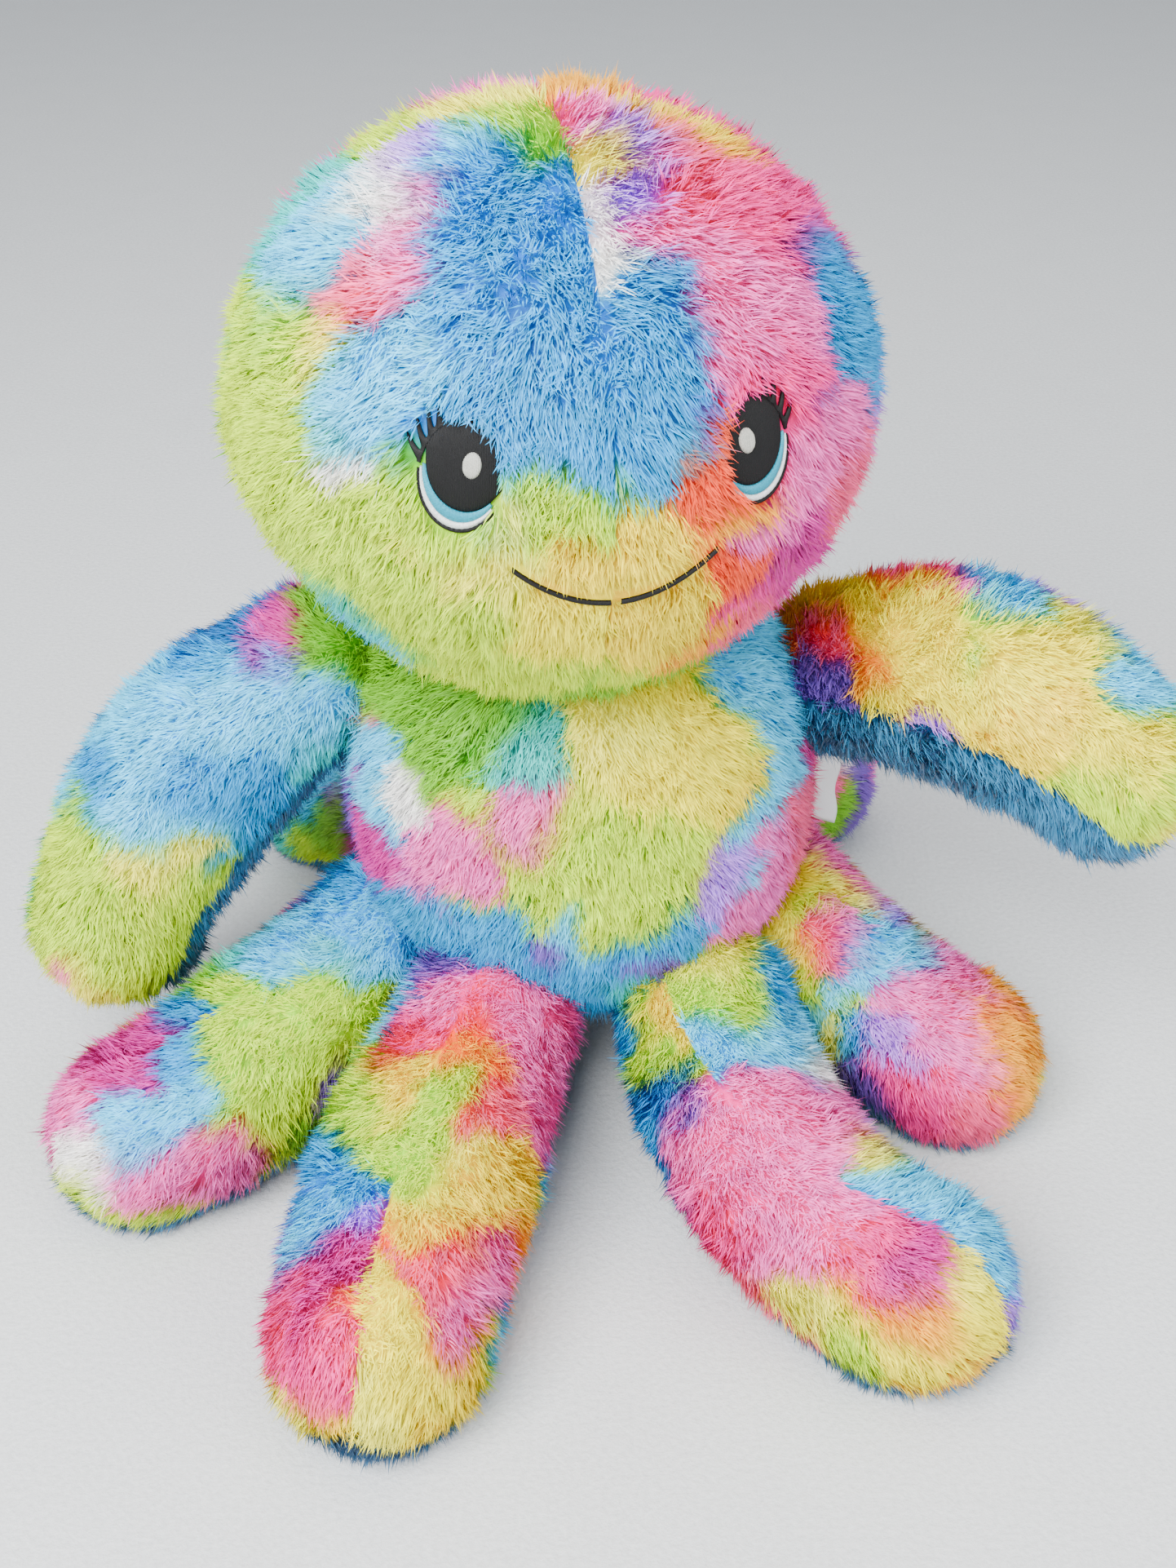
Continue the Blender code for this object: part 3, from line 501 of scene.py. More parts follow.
def build_fur(name, body, slot, node, panel, patches, flow, seed, pile=PILE, keep=None, face=False):
    """A panel's backing and its pile.

    The backing is the panel's grid, BACKING_DEPTH below the pattern. Tufts stand at random places,
    evenly by area, each of TUFT fibres round its root. A fibre is a kite of four points: its root, a
    widest middle to each side, and its tip, which is drawn towards the tuft's own tip.
    """
    draw = np.random.default_rng(seed)
    rows, columns = panel.a.shape
    depth = np.full((rows, columns), BACKING_DEPTH)
    if face:
        open_pile = smooth(face_clear(panel.a - 90, panel.b) / 0.35)
        depth = UNDER_STITCHES + (BACKING_DEPTH - UNDER_STITCHES) * open_pile
    cloth = panel.points - panel.normal * depth[..., None]

    ti, tj, i, j, edge = plant_tufts(panel, draw)
    root = read_grid(cloth, i, j)
    normal = unit(read_grid(panel.normal, i, j))
    a, b = read_grid(panel.a, i, j), read_grid(panel.b, i, j)
    tuft_root = read_grid(cloth, ti, tj)
    tip_way = comb_tufts(panel, ti, tj, edge, tuft_root, flow, seed, pile, draw)
    tufts = len(tuft_root)

    own = draw.normal(0, 1, (tufts, TUFT, 3))
    out = root - tuft_root[:, None]
    tip = tuft_root[:, None] + tip_way[:, None] + out * GATHER + own * FRAY
    tip = root + (tip - root) * (0.82 + 0.30 * draw.random((tufts, TUFT, 1)))
    middle = root + (tip - root) * 0.50 + normal * (pile * ARCH) + own[..., ::-1] * 0.0002

    flat = lambda grid: grid.reshape(-1, *grid.shape[2:])
    root, middle, tip, normal, a, b = map(flat, (root, middle, tip, normal, a, b))
    tone = np.repeat(1 + draw.normal(0, TONE_SPREAD, tufts), TUFT)
    tone = tone + draw.normal(0, TONE_SPREAD, tufts * TUFT)
    stay = np.ones(len(root), bool) if keep is None else keep(root)
    if face:
        stay &= face_clear(a - 90, b) > 0
        shorter = trim_face(tip, a, b, draw.uniform(-0.12, 0.03, len(root)))
        tip = root + (tip - root) * shorter[:, None]
        middle = root + (middle - root) * shorter[:, None]
    root, middle, tip, normal, a, b, tone = (v[stay] for v in (root, middle, tip, normal, a, b, tone))

    count = len(root)
    way = unit(tip - root)
    across = unit(np.cross(way, normal))
    twist = draw.normal(0, 0.55, (count, 1))
    across = across * np.cos(twist) + np.cross(way, across) * np.sin(twist)
    half = FIBRE_HALF_WIDTH * (0.75 + 0.5 * draw.random((count, 1)))
    blades = np.stack([root, middle + across * half, middle - across * half, tip], axis=1)
    blades[..., 2] = np.maximum(blades[..., 2], FLOOR_GAP)
    bend = unit(normal + 0.35 * unit(np.cross(across, way)) + 0.10 * draw.normal(size=(count, 3)))
    dye = dye_at(root, panel.surface, patches, seed + 20) * tone[:, None]

    cloth = cloth.reshape(-1, 3)
    cloth_dye = dye_at(cloth, panel.surface, patches, seed + 20)
    kite = np.array([[0, 1, 2], [1, 3, 2]])
    blade_faces = (np.arange(count)[:, None, None] * 4 + kite).reshape(-1, 3) + rows * columns
    faces = np.concatenate([grid_skin(panel, cloth, keep), blade_faces])
    points = np.concatenate([cloth, blades.reshape(-1, 3)])
    normals = np.concatenate([panel.normal.reshape(-1, 3), np.repeat(bend, 4, 0)])
    colours = np.concatenate([cloth_dye, np.repeat(dye, 4, 0)])
    # lift runs from 0 on the backing and at each root to 1 at the tip; the material paints shade where it
    # is low and a highlight where it is high
    lift = np.concatenate([np.zeros(rows * columns), np.tile([0.0, 0.5, 0.5, 1.0], count)])
    uv = bake_places(rows, columns, a, b)
    material = PILE_UNDERSIDE if slot == "blue_plush" else PILE_DYED
    piece = put(name, points, faces, normals, uv, colours, lift, material)
    finish_piece(piece, body, slot, node)
    return piece


def finish_piece(piece, body, slot, *nodes):
    """A stuffed panel: rides on its body and stands for its frame nodes, which are hidden."""
    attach(piece, body)
    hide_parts(*nodes)


def bake_places(rows, columns, a, b):
    """A flat place for each point: the cloth along the top, and a small cell for every fibre below.

    Fibres are put in order of their first parameter, cut into even columns, and each column in order
    of the second, so that neighbours on the toy are neighbours on the map.
    """
    cloth_band = 0.12
    v, u = np.meshgrid(np.linspace(0, 1, rows), np.linspace(0, 1, columns), indexing="ij")
    cloth = np.stack([u * 0.98 + 0.01, 1 - cloth_band + 0.01 + v * (cloth_band - 0.02)], -1).reshape(-1, 2)
    count = len(a)
    side = int(math.ceil(math.sqrt(count)))
    column = np.empty(count, int)
    column[np.argsort(a, kind="stable")] = np.arange(count) // side
    order = np.lexsort((b, column))
    row = np.empty(count, int)
    row[order] = np.arange(count) - np.searchsorted(column[order], column[order])
    corner = np.stack([column / side, row / side * (1 - cloth_band)], -1)
    kite = np.array([[0.5, 0.1], [0.9, 0.5], [0.1, 0.5], [0.5, 0.9]])
    cell = np.array([1 / side, (1 - cloth_band) / side])
    return np.concatenate([cloth, (corner[:, None] + kite * cell).reshape(-1, 2)])


def head_place(points):
    """Height and azimuth in degrees on the head of points near its surface."""
    t = math.radians(-HEAD_YAW)
    turn = np.array([[math.cos(t), -math.sin(t), 0], [math.sin(t), math.cos(t), 0], [0, 0, 1]])
    way = unit((points - HEAD) @ turn.T)
    return np.degrees(np.arcsin(way[:, 2])), np.degrees(np.arctan2(way[:, 0], -way[:, 1]))


def trim_face(tip, polar, azimuth, overlap):
    """How much of each fibre is left: it stops at the embroidery, give or take an overlap, and the
    pile falls to a third of its length in a valley beside the smile."""
    at_root = face_clear(polar - 90, azimuth)
    tip_height, tip_azimuth = head_place(tip)
    at_tip = face_clear(tip_height, tip_azimuth)
    root_above = polar - 90 > mouth_height(azimuth)
    tip_above = tip_height > mouth_height(tip_azimuth)
    crossed = (root_above != tip_above) & (np.abs(azimuth) < MOUTH_HALF_SPAN)
    at_tip = np.where(crossed, -np.abs(at_tip) - 0.15, at_tip)
    limit = np.where(crossed, 0.03, overlap)
    kept = np.clip((at_root - limit) / np.maximum(at_root - at_tip, 1e-4), 0.22, 1.0)
    kept = np.where(at_tip < limit, kept, 1.0)
    return kept * (0.34 + 0.66 * smooth((smile_gap(polar - 90, azimuth) - 0.8) / 6.0))


# ---- materials

def new_material(name):
    """A material with its Principled shader, its nodes and a function that joins two sockets."""
    made = bpy.data.materials.new(name)
    made.use_nodes = True
    tree = made.node_tree
    return made, tree.nodes["Principled BSDF"], tree.nodes, tree.links.new


def new_group(name, inputs, outputs):
    """A shader node group with those sockets, given as (name, kind, default) and (name, kind)."""
    group = bpy.data.node_groups.new(name, "ShaderNodeTree")
    for label, kind, value in inputs:
        socket = group.interface.new_socket(label, in_out="INPUT", socket_type=f"NodeSocket{kind}")
        if value is not None:
            socket.default_value = value
    for label, kind in outputs:
        group.interface.new_socket(label, in_out="OUTPUT", socket_type=f"NodeSocket{kind}")
    source = group.nodes.new("NodeGroupInput")
    target = group.nodes.new("NodeGroupOutput")
    return group, source.outputs, target.inputs


def node(nodes, kind, **settings):
    """One shader node with its settings; a setting of the form input_N sets that input's value."""
    made = nodes.new(f"ShaderNode{kind}")
    for key, value in settings.items():
        if key.startswith("input_"):
            made.inputs[int(key[6:])].default_value = value
        else:
            setattr(made, key, value)
    return made


def mix_colours(nodes, link, factor, first, second, how="MIX"):
    """A colour mix of two sockets or values; returns its result."""
    made = node(nodes, "Mix", data_type="RGBA", blend_type=how)
    for socket, value in ((made.inputs[0], factor), (made.inputs[6], first), (made.inputs[7], second)):
        if isinstance(value, bpy.types.NodeSocket):
            link(value, socket)
        else:
            socket.default_value = value
    return made.outputs[2]


def pile_tone_group():
    """Pile colour: dye with painted shade towards the root, paler at the tip as a painted highlight,
    uneven from lock to lock.
    """
    group, given, out = new_group(
        "pile_tone",
        [("Dye", "Color", (1, 1, 1, 1)), ("Lift", "Float", 0.5), ("Root Shade", "Float", 0.5),
         ("Tip Bleach", "Float", 0.1)],
        [("Color", "Color")])
    nodes, link = group.nodes, group.links.new
    place = node(nodes, "TexCoord")
    locks = node(nodes, "TexNoise", input_2=170.0, input_3=3.0, input_4=0.65)
    link(place.outputs["Object"], locks.inputs[0])
    # painted shade: the dye times itself, darker and deeper, is mixed in towards the root and over the
    # backing, whose lift is 0
    deep = mix_colours(nodes, link, 1.0, given["Dye"], given["Dye"], "MULTIPLY")
    shade = node(nodes, "MapRange")
    link(given["Lift"], shade.inputs[0])
    shade.inputs[1].default_value = 0.0
    shade.inputs[2].default_value = 0.55
    link(given["Root Shade"], shade.inputs[3])
    shade.inputs[4].default_value = 0.0
    rooted = mix_colours(nodes, link, shade.outputs[0], given["Dye"], deep)
    # painted highlight: the fibres are mixed towards white at the tip, more the higher the lift
    pale = node(nodes, "Math", operation="MULTIPLY")
    link(given["Lift"], pale.inputs[0])
    link(given["Tip Bleach"], pale.inputs[1])
    tipped = mix_colours(nodes, link, pale.outputs[0], rooted, (1.0, 1.0, 1.0, 1.0))
    uneven = node(nodes, "MapRange", input_1=0.32, input_2=0.68, input_3=0.70, input_4=1.12)
    link(locks.outputs[0], uneven.inputs[0])
    spread = node(nodes, "CombineColor")
    for k in range(3):
        link(uneven.outputs[0], spread.inputs[k])
    link(mix_colours(nodes, link, 1.0, tipped, spread.outputs[0], "MULTIPLY"), out["Color"])
    return group


def thread_relief_group():
    """Fine twist of embroidery thread: a height from noise drawn out along nothing, and its tone."""
    group, given, out = new_group(
        "thread_relief",
        [("Thread", "Color", (0.1, 0.1, 0.1, 1)), ("Scale", "Float", 2400.0)],
        [("Color", "Color"), ("Height", "Float")])
    nodes, link = group.nodes, group.links.new
    place = node(nodes, "TexCoord")
    fibre = node(nodes, "TexNoise", input_3=3.0, input_4=0.65)
    link(place.outputs["Object"], fibre.inputs[0])
    link(given["Scale"], fibre.inputs[2])
    tone = node(nodes, "MapRange", input_1=0.3, input_2=0.7, input_3=0.72, input_4=1.28)
    link(fibre.outputs[0], tone.inputs[0])
    spread = node(nodes, "CombineColor")
    for k in range(3):
        link(tone.outputs[0], spread.inputs[k])
    link(mix_colours(nodes, link, 1.0, given["Thread"], spread.outputs[0], "MULTIPLY"), out["Color"])
    link(fibre.outputs[0], out["Height"])
    return group


PILE_TONE = pile_tone_group()
THREAD_RELIEF = thread_relief_group()


def pile_material(name, root_shade, tip_highlight, sheen):
    """Long glossy plush pile in the colours of its dye, with painted shade at the roots and a painted
    highlight at the tips.
    """
    made, shader, nodes, link = new_material(name)
    dye = node(nodes, "Attribute", attribute_name="dye")
    lift = node(nodes, "Attribute", attribute_name="lift")
    tone = node(nodes, "Group", node_tree=PILE_TONE)
    tone.inputs["Root Shade"].default_value = root_shade
    tone.inputs["Tip Bleach"].default_value = tip_highlight
    link(dye.outputs["Color"], tone.inputs["Dye"])
    link(lift.outputs["Fac"], tone.inputs["Lift"])
    link(tone.outputs[0], shader.inputs["Base Color"])
    shader.inputs["Roughness"].default_value = 0.42
    shader.inputs["Specular IOR Level"].default_value = 0.17
    shader.inputs["Sheen Weight"].default_value = sheen
    shader.inputs["Sheen Roughness"].default_value = 0.45
    return made


def thread_material(name, code, roughness=0.36, relief=0.9):
    """Glossy rayon embroidery thread."""
    made, shader, nodes, link = new_material(name)
    fibre = node(nodes, "Group", node_tree=THREAD_RELIEF)
    fibre.inputs["Thread"].default_value = (*linear(code), 1)
    link(fibre.outputs["Color"], shader.inputs["Base Color"])
    bump = node(nodes, "Bump")
    bump.inputs["Strength"].default_value = relief
    bump.inputs["Distance"].default_value = 0.0002
    link(fibre.outputs["Height"], bump.inputs["Height"])
    link(bump.outputs[0], shader.inputs["Normal"])
    shader.inputs["Roughness"].default_value = roughness
    shader.inputs["Specular IOR Level"].default_value = 0.28
    return made


def filling_material():
    """Loose white polyester filling."""
    made, shader, nodes, link = new_material("fibre_filling")
    place = node(nodes, "TexCoord")
    fluff = node(nodes, "TexNoise", input_2=160.0, input_3=6.0, input_4=0.7)
    link(place.outputs["Object"], fluff.inputs[0])
    link(mix_colours(nodes, link, fluff.outputs[0], (0.72, 0.71, 0.68, 1), (0.95, 0.95, 0.93, 1)),
         shader.inputs["Base Color"])
    bump = node(nodes, "Bump")
    bump.inputs["Strength"].default_value = 0.8
    bump.inputs["Distance"].default_value = 0.002
    link(fluff.outputs[0], bump.inputs["Height"])
    link(bump.outputs[0], shader.inputs["Normal"])
    shader.inputs["Roughness"].default_value = 0.95
    shader.inputs["Sheen Weight"].default_value = 0.5
    return made


def satin_material():
    """Pale satin ribbon with fine cross ribs, along its own map."""
    made, shader, nodes, link = new_material("satin_label")
    place = node(nodes, "TexCoord")
    ribs = node(nodes, "TexWave", input_1=62.0, input_2=0.6, input_3=1.0)
    ribs.bands_direction = "Y"
    link(place.outputs["UV"], ribs.inputs[0])
    cloud = node(nodes, "TexNoise", input_2=90.0, input_3=4.0)
    link(place.outputs["Object"], cloud.inputs[0])
    base = mix_colours(nodes, link, cloud.outputs[0], (0.74, 0.71, 0.72, 1), (0.90, 0.88, 0.88, 1))
    rib = mix_colours(nodes, link, ribs.outputs[1], (0.90, 0.90, 0.90, 1), (1, 1, 1, 1))
    link(mix_colours(nodes, link, 1.0, base, rib, "MULTIPLY"), shader.inputs["Base Color"])
    bump = node(nodes, "Bump")
    bump.inputs["Strength"].default_value = 0.3
    bump.inputs["Distance"].default_value = 0.0001
    link(ribs.outputs[1], bump.inputs["Height"])
    link(bump.outputs[0], shader.inputs["Normal"])
    shader.inputs["Roughness"].default_value = 0.38
    shader.inputs["Sheen Weight"].default_value = 0.3
    return made


def felt_material():
    """Pale grey felt under the toy: matted fibres and faint speckle."""
    made, shader, nodes, link = new_material("pale_felt")
    place = node(nodes, "TexCoord")
    fine = node(nodes, "TexNoise", input_2=420.0, input_3=5.0, input_4=0.62)
    broad = node(nodes, "TexNoise", input_2=26.0, input_3=4.0)
    link(place.outputs["Object"], fine.inputs[0])
    link(place.outputs["Object"], broad.inputs[0])
    speck = mix_colours(nodes, link, fine.outputs[0], (0.50, 0.515, 0.52, 1), (0.80, 0.815, 0.82, 1))
    cloud = mix_colours(nodes, link, broad.outputs[0], (0.94, 0.94, 0.94, 1), (1, 1, 1, 1))
    link(mix_colours(nodes, link, 1.0, speck, cloud, "MULTIPLY"), shader.inputs["Base Color"])
    bump = node(nodes, "Bump")
    bump.inputs["Strength"].default_value = 0.55
    bump.inputs["Distance"].default_value = 0.0012
    link(fine.outputs[0], bump.inputs["Height"])
    link(bump.outputs[0], shader.inputs["Normal"])
    shader.inputs["Roughness"].default_value = 0.95
    return made


# for both piles: the first number is painted shade at the roots and on the backing, the second a painted
# highlight at the tips
PILE_DYED = pile_material("dyed_plush", 0.85, 0.02, 0.0)
PILE_UNDERSIDE = pile_material("blue_plush", 0.75, 0.06, 0.10)
BLACK_THREAD = thread_material("black_thread", "060607", 0.55)
TEAL_THREAD = thread_material("teal_thread", "1F8FA5")
PALE_THREAD = thread_material("white_thread", "D4D8D8")
GREY_THREAD = thread_material("glint_thread", "A9A9A0")
FILLING = filling_material()
SATIN = satin_material()


# ---- embroidery

def relief(points, middle, amount):
    """The points pushed away from a middle by an amount each."""
    return points + unit(points - middle) * amount[..., None]


def closed_patch(name, top, material, node_name, thick=0.0006):
    """A closed sheet of stitching: a grid of points above, the same grid lower down, and its rim."""
    rows, columns = top.shape[:2]
    low = relief(top, HEAD, np.full((rows, columns), -thick))
    upper = grid_triangles(rows, columns)
    corner = top.reshape(-1, 3)[upper]
    facing = np.cross(corner[:, 1] - corner[:, 0], corner[:, 2] - corner[:, 0])
    if (facing * (corner[:, 0] - HEAD)).sum() < 0:
        upper = upper[:, ::-1]
    lower = upper[:, ::-1] + rows * columns
    index = np.arange(rows * columns).reshape(rows, columns)
    edge = np.concatenate([index[0], index[1:, -1], index[-1, -2::-1], index[-2:0:-1, 0]])
    after = np.roll(edge, -1)
    rim = np.concatenate([np.stack([edge, after, after + rows * columns], 1),
                          np.stack([edge, after + rows * columns, edge + rows * columns], 1)])
    points = np.concatenate([top.reshape(-1, 3), low.reshape(-1, 3)])
    p, q, r = (points[rim[0, k]] for k in range(3))
    grid_middle = points.mean(0)
    if np.dot(np.cross(q - p, r - p), p - grid_middle) < 0:
        rim = rim[:, ::-1]
    piece = put(name, points, np.concatenate([upper, lower, rim]), material=material)
    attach(piece, "head")
    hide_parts(node_name)
    return piece


def satin_field(word, side, part, boundary, material, rise, offset=(0.0, 0.0)):
    """A field of upright satin stitches inside an outline, two columns of points to each stitch.

    The outline is a distance at each turn; each stitch runs from its lower to its upper half. The
    height is a low dome that falls to the outline, plus a ridge for each stitch.
    """
    turn = np.linspace(0, 360, 721)
    x, y = eye_shape(side, boundary(turn), turn)
    x, y = x + offset[0], y + offset[1]
    left, right = np.argmin(x), np.argmax(x)
    stitches = int((x.max() - x.min()) / THREAD)
    column = np.linspace(x.min() + 1e-5, x.max() - 1e-5, 4 * stitches + 1)
    ring = np.arange(721)
    first = np.roll(ring[:-1], -left)
    cut = (right - left) % 720
    half_a, half_b = first[:cut + 1], np.r_[first[cut:], first[0]]
    y_a = np.interp(column, x[half_a], y[half_a])
    y_b = np.interp(column, x[half_b][::-1], y[half_b][::-1])
    share = np.linspace(0, 1, 16)[:, None]
    jag = 0.00016 * np.sin(np.arange(len(column)) * 2.4)
    top_y = np.maximum(y_a, y_b) + jag
    low_y = np.minimum(y_a, y_b) - jag
    up = low_y + (top_y - low_y) * share
    across = np.broadcast_to(column, up.shape)
    ridge = 0.00022 * np.abs(np.sin(np.pi * np.arange(len(column)) / 4))
    width_share = 2 * (column - x.min()) / (x.max() - x.min()) - 1
    dome = 0.0009 * (1 - (2 * share - 1) ** 4) * (1 - width_share ** 6)
    base = on_face(EYE_AZIMUTH * side, EYE_HEIGHT, across, up, np.full(up.shape, rise))
    return closed_patch(f"eye_{word}_{part}", relief(base, HEAD, dome + ridge), material,
                        f"eye_{word}_{part}")


def satin_crescent(word, side, part, inner, outer, half, material, rise):
    """A crescent of short satin stitches that run across it, one ridge for each."""
    lowest = lowest_turn(side)
    turns = np.linspace(lowest - half, lowest + half, 4 * 96 + 1)
    share = np.linspace(0, 1, 7)[:, None]
    a, b = inner(turns), outer(turns)
    jag = 0.006 * np.sin(np.arange(len(turns)) * 1.9)
    ring = a + (b - a) * share + jag * np.abs(2 * share - 1)
    ridge = 0.00020 * np.abs(np.sin(np.pi * np.arange(len(turns)) / 4))
    arch = 0.0006 * (1 - (2 * share - 1) ** 2)
    across, up = eye_shape(side, ring, turns)
    base = on_face(EYE_AZIMUTH * side, EYE_HEIGHT, across, up, np.full(ring.shape, rise))
    return closed_patch(f"eye_{word}_{part}", relief(base, HEAD, arch + ridge), material,
                        f"eye_{word}_{part}")


def satin_cord(name, path_across, rise, half, material, node_name):
    """A line of close satin stitches along a path on the head: a low arch across it, with ridges.

    path_across gives the points for an offset sideways from the path, in metres.
    """
    side = np.linspace(-1, 1, 7)
    rows = [path_across(k * half) for k in side]
    base = np.stack(rows)
    count = base.shape[1]
    ridge = 0.00010 * np.abs(np.sin(np.pi * np.arange(count) / 3))
    arch = 0.0007 * (1 - side[:, None] ** 2)
    return closed_patch(name, relief(base, HEAD, rise + arch + ridge), material, node_name)


def embroider_eye(word, side):
    """Pupil, iris, white, outline, glint and lashes of one eye."""
    def pupil(turn):
        """Share of the outline that the dark field fills."""
        return crescent_inner(side, turn, IRIS_DEEP)

    def above(deep):
        """The edge of the crescent that cuts so deep."""
        return lambda turn: crescent_inner(side, turn, deep)

    satin_field(word, side, "pupil", pupil, BLACK_THREAD, CLEAR)
    satin_crescent(word, side, "iris", above(IRIS_DEEP), above(WHITE_DEEP), 80, TEAL_THREAD,
                   CLEAR)
    satin_crescent(word, side, "white", above(WHITE_DEEP), above(OUTLINE_DEEP), 76, PALE_THREAD,
                   CLEAR)
    satin_crescent(word, side, "outline", above(OUTLINE_DEEP),
                   lambda turn: crescent_inner(side, turn, OUTLINE_DEEP) + 0.075, 74, BLACK_THREAD,
                   CLEAR)
    spot = (-side * 0.30 * EYE_HALF[0], 0.22 * EYE_HALF[1])
    satin_field(word, side, "glint", lambda turn: 0.22 + 0 * turn, GREY_THREAD,
                CLEAR + 0.0011, offset=spot)
    embroider_lashes(word, side)


def embroider_lashes(word, side):
    """A row of curved lashes on one root beside the eye: the root's arc with a sharp wave outside."""
    count = 40 * LASHES + 1
    turns = np.linspace(*LASH_FAN, count)
    sharp = (0.5 - 0.5 * np.cos(np.linspace(0, 2 * math.pi * LASHES, count))) ** 2.2
    facing = turns if side > 0 else 180 - turns
    share = np.linspace(0, 1, 9)[:, None]
    radius = 0.985 + (0.09 + 0.46 * sharp) * share
    turn = facing + side * 9 * sharp * share ** 1.5
    across, up = eye_shape(side, radius, turn)
    base = on_face(EYE_AZIMUTH * side, EYE_HEIGHT, across, up, np.full(radius.shape, CLEAR))
    arch = 0.0006 * sharp * (1 - (2 * share - 1) ** 2) + 0.0003
    closed_patch(f"eye_{word}_lashes", relief(base, HEAD, arch), BLACK_THREAD,
                 f"eye_{word}_lashes")


def embroider_mouth(word, start, stop):
    """Half of the smile as a narrow line of satin stitches."""
    steps = np.linspace(start, stop, 360)

    def line(offset):
        """The smile moved up by an offset in metres."""
        height = mouth_height(steps) + math.degrees(offset / HEAD_HALF[1])
        return HEAD_SURFACE(90 + height, steps)

    satin_cord(f"mouth_{word}", line, MOUTH_CLEAR, 0.0010, BLACK_THREAD, f"mouth_{word}")


for eye_word, eye_side in (("left", -1), ("right", 1)):
    embroider_eye(eye_word, eye_side)
embroider_mouth("left", -MOUTH_HALF_SPAN, -MOUTH_BREAK)
embroider_mouth("right", MOUTH_BREAK, MOUTH_HALF_SPAN)


# ---- dye patches: where each colour was splashed, its size in mm and its name

# height above the head's middle and degrees round from the face, + towards the left arm's far side
HEAD_DYE = {
    "front_left": [
        (84, -45, 20, "lime"), (70, -72, 17, "sky"), (70, -44, 15, "cyan"), (62, -88, 14, "lilac"),
        (56, -84, 15, "cream"), (50, -66, 17, "cream"), (58, -60, 12, "rose"), (46, -56, 13, "rose"),
        (36, -58, 14, "salmon"), (44, -88, 15, "sky"), (34, -76, 20, "sky"), (58, -24, 28, "cyan"),
        (40, -14, 30, "cyan"), (24, -16, 26, "cyan"), (30, -36, 14, "sky"), (26, -58, 12, "straw"),
        (22, -70, 20, "lime"), (12, -62, 20, "lime"), (20, -48, 14, "sky"), (10, -46, 10, "cream"),
        (4, -34, 14, "lime"), (-8, -58, 22, "lime"), (-6, -24, 16, "straw"), (-18, -40, 22, "lime"),
        (-22, -56, 16, "aqua"), (-30, -24, 20, "lime"), (6, -10, 13, "lime"), (-8, -8, 13, "gold"),
        (-20, -8, 14, "yellow"), (-36, -68, 14, "sky"), (-44, -36, 24, "lime"), (-60, -20, 20, "leaf"),
    ],
    "front_right": [
        (84, 30, 15, "rose"), (72, 36, 14, "lilac"), (70, 8, 12, "straw"), (58, 20, 13, "lilac"),
        (68, 74, 18, "gold"), (62, 52, 15, "salmon"), (52, 44, 24, "pink"), (44, 62, 22, "pink"),
        (44, 26, 18, "rose"), (58, 4, 10, "cream"), (46, 3, 8, "cream"), (34, 8, 16, "cyan"),
        (24, 10, 16, "cyan"), (18, 4, 12, "cyan"), (33, 30, 18, "rose"), (22, 34, 14, "pink"),
        (38, 80, 20, "pink"), (28, 66, 22, "cyan"), (14, 68, 16, "cyan"), (38, 60, 9, "violet"),
        (4, 72, 16, "lilac"), (17, 16, 8, "violet"), (9, 16, 12, "coral"), (1, 20, 10, "orange"),
        (-2, 6, 12, "gold"), (-12, 12, 14, "gold"), (2, 44, 18, "rose"), (-6, 54, 16, "salmon"),
        (-14, 28, 9, "coral"), (-18, 38, 14, "magenta"), (-26, 46, 14, "magenta"), (-24, 30, 9, "pink"),
        (-26, 12, 15, "gold"), (-36, 22, 14, "orange"), (-38, 38, 12, "salmon"), (-42, 6, 14, "lime"),
        (-54, 30, 18, "leaf"), (-8, 78, 18, "rose"), (-30, 70, 18, "magenta"),
    ],
    "back_left": [
        (80, -120, 16, "straw"), (62, -112, 18, "lime"), (60, -160, 20, "rose"), (40, -100, 18, "aqua"),
        (38, -136, 24, "pink"), (30, -170, 20, "gold"), (16, -104, 16, "lime"), (14, -130, 20, "sky"),
        (8, -160, 24, "cyan"), (-10, -110, 20, "leaf"), (-14, -144, 22, "straw"), (-20, -172, 16, "lime"),
        (-36, -124, 20, "cyan"), (-44, -160, 24, "rose"),
    ],
    "back_right": [
        (78, 130, 16, "orange"), (60, 104, 18, "pink"), (58, 150, 22, "sky"), (40, 120, 20, "violet"),
        (40, 168, 18, "cyan"), (24, 98, 16, "rose"), (20, 142, 24, "lime"), (6, 170, 18, "straw"),
        (0, 112, 22, "gold"), (-12, 146, 20, "pink"), (-22, 98, 18, "magenta"), (-30, 172, 20, "lime"),
        (-38, 122, 20, "sky"), (-50, 150, 20, "cyan"),
    ],
}

